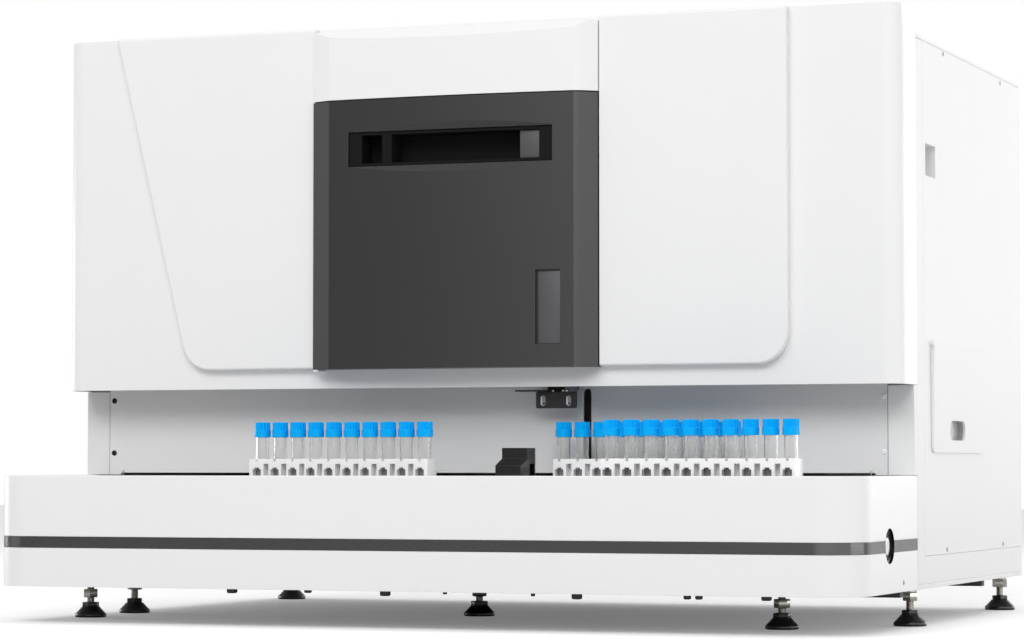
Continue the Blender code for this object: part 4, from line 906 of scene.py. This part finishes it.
def module_outline(inset=0.0, back=MODULE_BACK, steps=50):
    """The plan of door and cap: chamfer at the left, shallow arc, softer return at the right."""
    left, right = MODULE_LEFT + inset, RETURN_END[0] - inset
    start, end = CHAMFER[0] + 0.3 * inset, RETURN[0] - 0.3 * inset
    points = [(left, back), (left, MODULE_EDGE + inset)]
    for i in range(steps + 1):
        share = i / steps
        bow = 1 - (2 * share - 1) ** 2
        base = CHAMFER[1] + (RETURN[1] - CHAMFER[1]) * share
        points.append((start + (end - start) * share, base - (base - CROWN_Y) * bow + inset))
    for i in range(1, 7):
        t = i / 7
        y = RETURN[1] + (RETURN_END[1] - RETURN[1]) * t ** 1.25
        points.append((end + (right - end) * t, y + inset))
    return points + [(right, RETURN_END[1] + inset), (right, back)]


def pushed(points, by):
    """A flat outline of points in mm, pushed along to make a solid."""
    shape = bmesh.new()
    shape.faces.new([shape.verts.new(spot(*point)) for point in points])
    grown = bmesh.ops.extrude_face_region(shape, geom=list(shape.faces))["geom"]
    tip = [v for v in grown if isinstance(v, bmesh.types.BMVert)]
    bmesh.ops.translate(shape, verts=tip, vec=Vector(by) * MM)
    bmesh.ops.recalc_face_normals(shape, faces=shape.faces)
    return shape


inside = pushed(
    [(x, y, DOOR_LOW + WALL) for x, y in module_outline(WALL, MODULE_BACK + 5)],
    (0, 0, DOOR_HIGH - DOOR_LOW - 2 * WALL),
)
port_block = slab(
    (PORT_X[0] - WALL, CROWN_Y - 5, PORT_Z[0] - WALL),
    (PORT_X[1] + WALL, MODULE_BACK + 9, PORT_Z[1] + WALL),
)
pull_block = slab(
    (PULL_X[0] - WALL, CROWN_Y - 5, PULL_Z[0] - WALL),
    (PULL_X[1] + WALL, PULL_DEEP + WALL, PULL_Z[1] + WALL),
)
inside = again(hollowed(inside, port_block, pull_block))
flare = [
    (PORT_X[0], PORT_DEEP, PORT_Z[0]),
    (PORT_X[0], PORT_DEEP, PORT_Z[1]),
    (PORT_X[0], CROWN_Y - 1, PORT_Z[1] + PORT_FLARE),
    (PORT_X[0], CROWN_Y - 10, PORT_Z[1] + PORT_FLARE),
    (PORT_X[0], CROWN_Y - 10, PORT_Z[0] - PORT_FLARE),
    (PORT_X[0], CROWN_Y - 1, PORT_Z[0] - PORT_FLARE),
]
door_mesh = hollowed(
    pushed([(x, y, DOOR_LOW) for x, y in module_outline()], (0, 0, DOOR_HIGH - DOOR_LOW)),
    inside,
    pushed(flare, (PORT_X[1] - PORT_X[0], 0, 0)),
    slab((PORT_X[0], CROWN_Y, PORT_Z[0]), (PORT_X[1], MODULE_BACK + 5, PORT_Z[1])),
    slab((PULL_X[0], CROWN_Y - 10, PULL_Z[0]), (PULL_X[1], PULL_DEEP, PULL_Z[1])),
)
door_piece = keep("front_door_finished", door_mesh, door_abs, "door", 9.0)
softened(door_piece, 0.3)
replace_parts(door_piece, "front_door")
# A smooth inlay in the pull, paler than the grained door.
pull_floor = slab(
    (PULL_X[0] + 1.6, PULL_DEEP - 0.8, PULL_Z[0] + 0.4),
    (PULL_X[1] - 0.7, PULL_DEEP + 0.4, PULL_Z[1] - 1.6),
    0.2,
)
pull_abs = surface("smooth_grey_abs", "#525254", 0.35, 1.0, 0.006)
keep("finger_pull_inlay", gathered(pull_floor), pull_abs, "door")
# Matt black ABS that mirrors almost nothing.
liner_abs = surface("matt_black_abs", "#1A1A1A", 0.60, 1.0, 0.01, Specular_IOR_Level=0.06)
rounded_copy("strip_port_liner", liner_abs, 0.25, body="door")
port_low, port_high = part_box("strip_port_liner")
# The stop at the port's right end is a plain mid grey moulding.
stop_abs = surface("moulded_grey_abs", "#4E4E50", 0.40, 1.0, 0.01)
port_front = (port_low.y - APRON_FRONT) / MM
STOP_X, STOP_Y, STOP_EDGE = (70.4, 92.0), (3.6, 8.0), 3.6
stop = slab(
    (STOP_X[0], port_front + STOP_Y[0], port_low.z / MM + STOP_EDGE),
    (STOP_X[1], port_front + STOP_Y[1], port_high.z / MM - STOP_EDGE),
    0.3,
)
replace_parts(keep("strip_port_stop", gathered(stop), stop_abs, "door"), "strip_port_liner")


# Module cap: the white ABS moulding above the door, which follows the door's plan and closes
# the module. A flat bevel runs along its top.
CAP_LOW_EDGE, CAP_HIGH_EDGE, BEVEL_Z, BEVEL_SLOPE = 538.8, 611.0, 599.8, 0.77
run = (CAP_HIGH_EDGE - BEVEL_Z) / BEVEL_SLOPE
left = MODULE_LEFT - 5
plane = [
    (left, CROWN_Y - 4, BEVEL_Z - 4 * BEVEL_SLOPE),
    (left, CROWN_Y + run + 4, CAP_HIGH_EDGE + 4 * BEVEL_SLOPE),
    (left, CROWN_Y + run + 4, CAP_HIGH_EDGE + 12),
    (left, CROWN_Y - 4, CAP_HIGH_EDGE + 12),
]
cap_mesh = hollowed(
    pushed(
        [(x, y, CAP_LOW_EDGE) for x, y in module_outline()],
        (0, 0, CAP_HIGH_EDGE - CAP_LOW_EDGE),
    ),
    pushed(plane, (RETURN_END[0] - MODULE_LEFT + 10, 0, 0)),
)
cap_piece = keep("module_cap_finished", cap_mesh, white_abs, "housing", 9.0)
softened(cap_piece, 0.35)
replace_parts(cap_piece, "module_cap")


# Sensor bracket: a laser-cut black angle with two slotted holes, its screws with their sleeves
# showing through, a white strip in each hole as a painted highlight of its lit inner wall, and a
# thin black shield bar under the cover.
black_coat = surface("black_powder_coat", "#111112", 0.38, 0.9, 0.012)
# The shield bar ends here, and the flange is cut back behind its right corner by this much.
SHIELD_END, FLANGE_CUT, FLANGE_X, FLANGE_Y = 51.6, 11.0, 105.0, 200.0
bracket_piece = rounded_copy("sensor_bracket", black_coat, 0.15)
for corner in bracket_piece.data.vertices:
    if corner.co.x < SHIELD_END * MM:
        corner.co.x = SHIELD_END * MM
    if corner.co.x > FLANGE_X * MM and corner.co.y > spot(0, FLANGE_Y, 0).y:
        corner.co.x -= FLANGE_CUT * MM
# Turned steel: a bright metal with a close, even gloss.
bright_steel = surface("turned_bright_steel", "#D8D8D6", 0.22, 0.8, 0.004, 0.04, Metallic=1.0)
BRACKET_FACE, HOLES, HOLE_Z = 190.0, (76.9, 104.7), (221.7, 232.8)
RIVET_X, RIVET_Z = (88.0, 99.0, 103.0), 237.6


def obround(x, width, y, back):
    """A plate with round ends that fills a slotted hole, in mm."""
    half, low, high = width / 2, HOLE_Z[0] + 0.3, HOLE_Z[1] - 0.3
    rim = []
    for middle, first in ((high - half, 0), (low + half, 180)):
        for step in range(9):
            a = math.radians(first + 22.5 * step)
            rim.append((x + half * math.cos(a), y, middle + half * math.sin(a)))
    return pushed(rim, (0, back - y, 0))


# Behind each hole: a grey plate, a thin white strip at its left end that paints the lit inner wall
# of the hole, and a pin.
painted_lit_wall_white = surface("white_painted_lit_hole_wall", "#F4F4F2", 0.35, 0.8, 0.005)
plate_grey = surface("grey_polyamide", "#ABABAD", 0.40, 0.8, 0.006)
plates = [obround(x, 5.4, BRACKET_FACE + 0.6, BRACKET_FACE + 1.9) for x in HOLES]
keep("bracket_hole_plates", gathered(*plates), plate_grey, "housing")
strips, hole_pins = [], []
for x in HOLES:
    strip_low = (x - 2.5, BRACKET_FACE + 0.3, HOLE_Z[0] + 1.6)
    strip_high = (x - 0.8, BRACKET_FACE + 0.8, HOLE_Z[1] - 1.2)
    strips.append(slab(strip_low, strip_high, 0.1))
    pin = spun([(0, 0), (1.1, 0), (1.1, 0.8), (0, 0.8)], 24)
    hole_pins.append(set_in(pin, x + 1.0, BRACKET_FACE + 0.7, HOLE_Z[0] + 2.8, facing="front"))
keep("bracket_hole_lit_walls", gathered(*strips), painted_lit_wall_white, "housing")
keep("bracket_pins", gathered(*hole_pins), black_coat, "housing")
rivet = [(0, 0), (1.4, 0), (1.2, 0.5), (0.6, 0.9), (0, 1.0)]
rivets = [set_in(spun(rivet, 24), x, BRACKET_FACE, RIVET_Z, facing="front") for x in RIVET_X]
keep("bracket_rivets", gathered(*rivets), bright_steel, "housing")


# Sampler: a ground steel rail with its carriage, the steel needle, and the guide nose that
# steadies the needle above the rack.
def dress(material, *nodes):
    """Gives CAD nodes whose shape is already right their finish."""
    for node in nodes:
        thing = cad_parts[node]
        if thing.material_slots:
            thing.material_slots[0].material = material
        else:
            thing.data.materials.append(material)


dress(bright_steel, "sampler_rail", "sampler_needle")
dress(zinc_plate, "sampler_carriage", "front_crossbar")
# Machined acetal again, in grey.
nose_grey = surface("machined_grey_acetal", "#505154", 0.35, 0.9, 0.008)
rounded_copy("needle_guide", nose_grey, 0.2)


# Side panels and hatch: flat powder-coated sheets in the frame's recesses, with countersunk
# screws at the corners; the right one has the waste hatch and a small service port.
rounded_copy("side_panel_right", white_coat, 0.3)
rounded_copy("side_panel_left", white_coat, 0.2)


HATCH_PROUD = 4.0


def hatch_face(x, y, z):
    return x > SIDE + HATCH_PROUD - 0.1


hatch_piece = rounded_copy("side_hatch", white_coat, 0.2, 1.0, hatch_face, body="hatch")
GRIP_Y, GRIP_Z, CUP_DEEP, CUP_WALL = (354.0, 422.0), (187.0, 207.0), 7.0, 1.2
# The plate thins from its hinge down to its lower edge, and the slot sits nearer to the front.
HATCH_SHARE, GRIP_SHIFT, SLOT_Y, SLOT_Z = 0.6, -14.0, (360.0, 444.0), (180.0, 214.0)
HATCH_FOOT, HATCH_BARREL = 174.0, 282.5
for corner in hatch_piece.data.vertices:
    if corner.co.x > SIDE * MM:
        up = min(1.0, (corner.co.z / MM - HATCH_FOOT) / (HATCH_BARREL - HATCH_FOOT))
        share = HATCH_SHARE + (1.0 - HATCH_SHARE) * up
        corner.co.x = (SIDE + (corner.co.x / MM - SIDE) * share) * MM
for corner in hatch_piece.data.vertices:
    deep, level = (corner.co.y - APRON_FRONT) / MM, corner.co.z / MM
    if SLOT_Y[0] < deep < SLOT_Y[1] and SLOT_Z[0] < level < SLOT_Z[1]:
        corner.co.y += GRIP_SHIFT * MM


def grip_outline(x, grow):
    """The finger slot's round-ended outline in a plane across X, grown by some mm."""
    radius = (GRIP_Z[1] - GRIP_Z[0]) / 2
    middle = (GRIP_Z[0] + GRIP_Z[1]) / 2
    rim = []
    for y, first in ((GRIP_Y[1] - radius, -90), (GRIP_Y[0] + radius, 90)):
        for step in range(13):
            a = math.radians(first + 15 * step)
            reach = radius + grow
            rim.append((x, y + reach * math.cos(a), middle + reach * math.sin(a)))
    return rim


cup_face = SIDE + 0.3
cup_mesh = hollowed(
    pushed(grip_outline(cup_face - CUP_DEEP, CUP_WALL), (CUP_DEEP, 0, 0)),
    pushed(grip_outline(cup_face - CUP_DEEP + CUP_WALL, 0.0), (CUP_DEEP + 5, 0, 0)),
)
# The cup behind the slot is a greyer moulding.
cup_abs = surface("moulded_pale_grey_abs", "#B4B4B6", 0.40, 1.2, 0.010)
keep("hatch_grip_cup", cup_mesh, cup_abs, "hatch")
# Zinc plate with a bluish passivation, which looks greyer than the plain one.
blue_zinc = surface("blue_passivated_zinc", "#959BAA", 0.40, 1.0, 0.01, Metallic=0.3)
# Four screws hold each panel, and the fifth holds the apron.
SIDE_SCREWS = ((347.6, 75.1), (609.6, 75.3), (342.6, 584.5), (609.7, 583.0), (167.3, 47.2))
for side, face in (("right", SIDE), ("left", -SIDE)):
    places = [(face, y, z) for y, z in SIDE_SCREWS]
    screws("side_screws_" + side, blue_zinc, 2.6, 0.7, side, places)


# Top and rear: a shallow steel lid and a rear sheet, powder coated like the frame. The rear
# sheet carries the fan behind its grille, the mains inlet and switch, sockets and fittings.
rounded_copy("top_cover", white_coat, 0.6)
rounded_copy("rear_panel", white_coat, 0.0)
rounded_copy("connector_panel", white_coat, 0.0)
rounded_copy("fan_housing", black_nylon, 0.3)
rounded_copy("fan_rotor", black_nylon, 0.2, body="fan")
rounded_copy("mains_inlet", liner_abs, 0.2)
rounded_copy("switch_housing", liner_abs, 0.2)
rounded_copy("mains_switch", black_nylon, 0.3, body="rocker")
rounded_copy("data_sockets", zinc_plate, 0.15)
rounded_copy("hose_fittings", zinc_plate, 0.15)


# Inside: a zinc-plated deck carries the strip feeder, the reading stage, the syringe pump
# and the boards; nothing of it shows with the covers on.
dress(zinc_plate, "equipment_deck", "power_supply")
dress(white_abs, "strip_hopper", "strip_stage", "pump_housing")
dress(tray_pale, "strip_drum", "waste_box")
dress(liner_abs, "reading_head")
dress(tube_clear, "pump_barrel")
dress(bright_steel, "pump_plunger")
# Solder mask: a clear dark green lacquer over the board.
green_board = surface("green_solder_mask", "#1E5A38", 0.35, 2.0, 0.01, 0.10)
dress(green_board, "control_board")
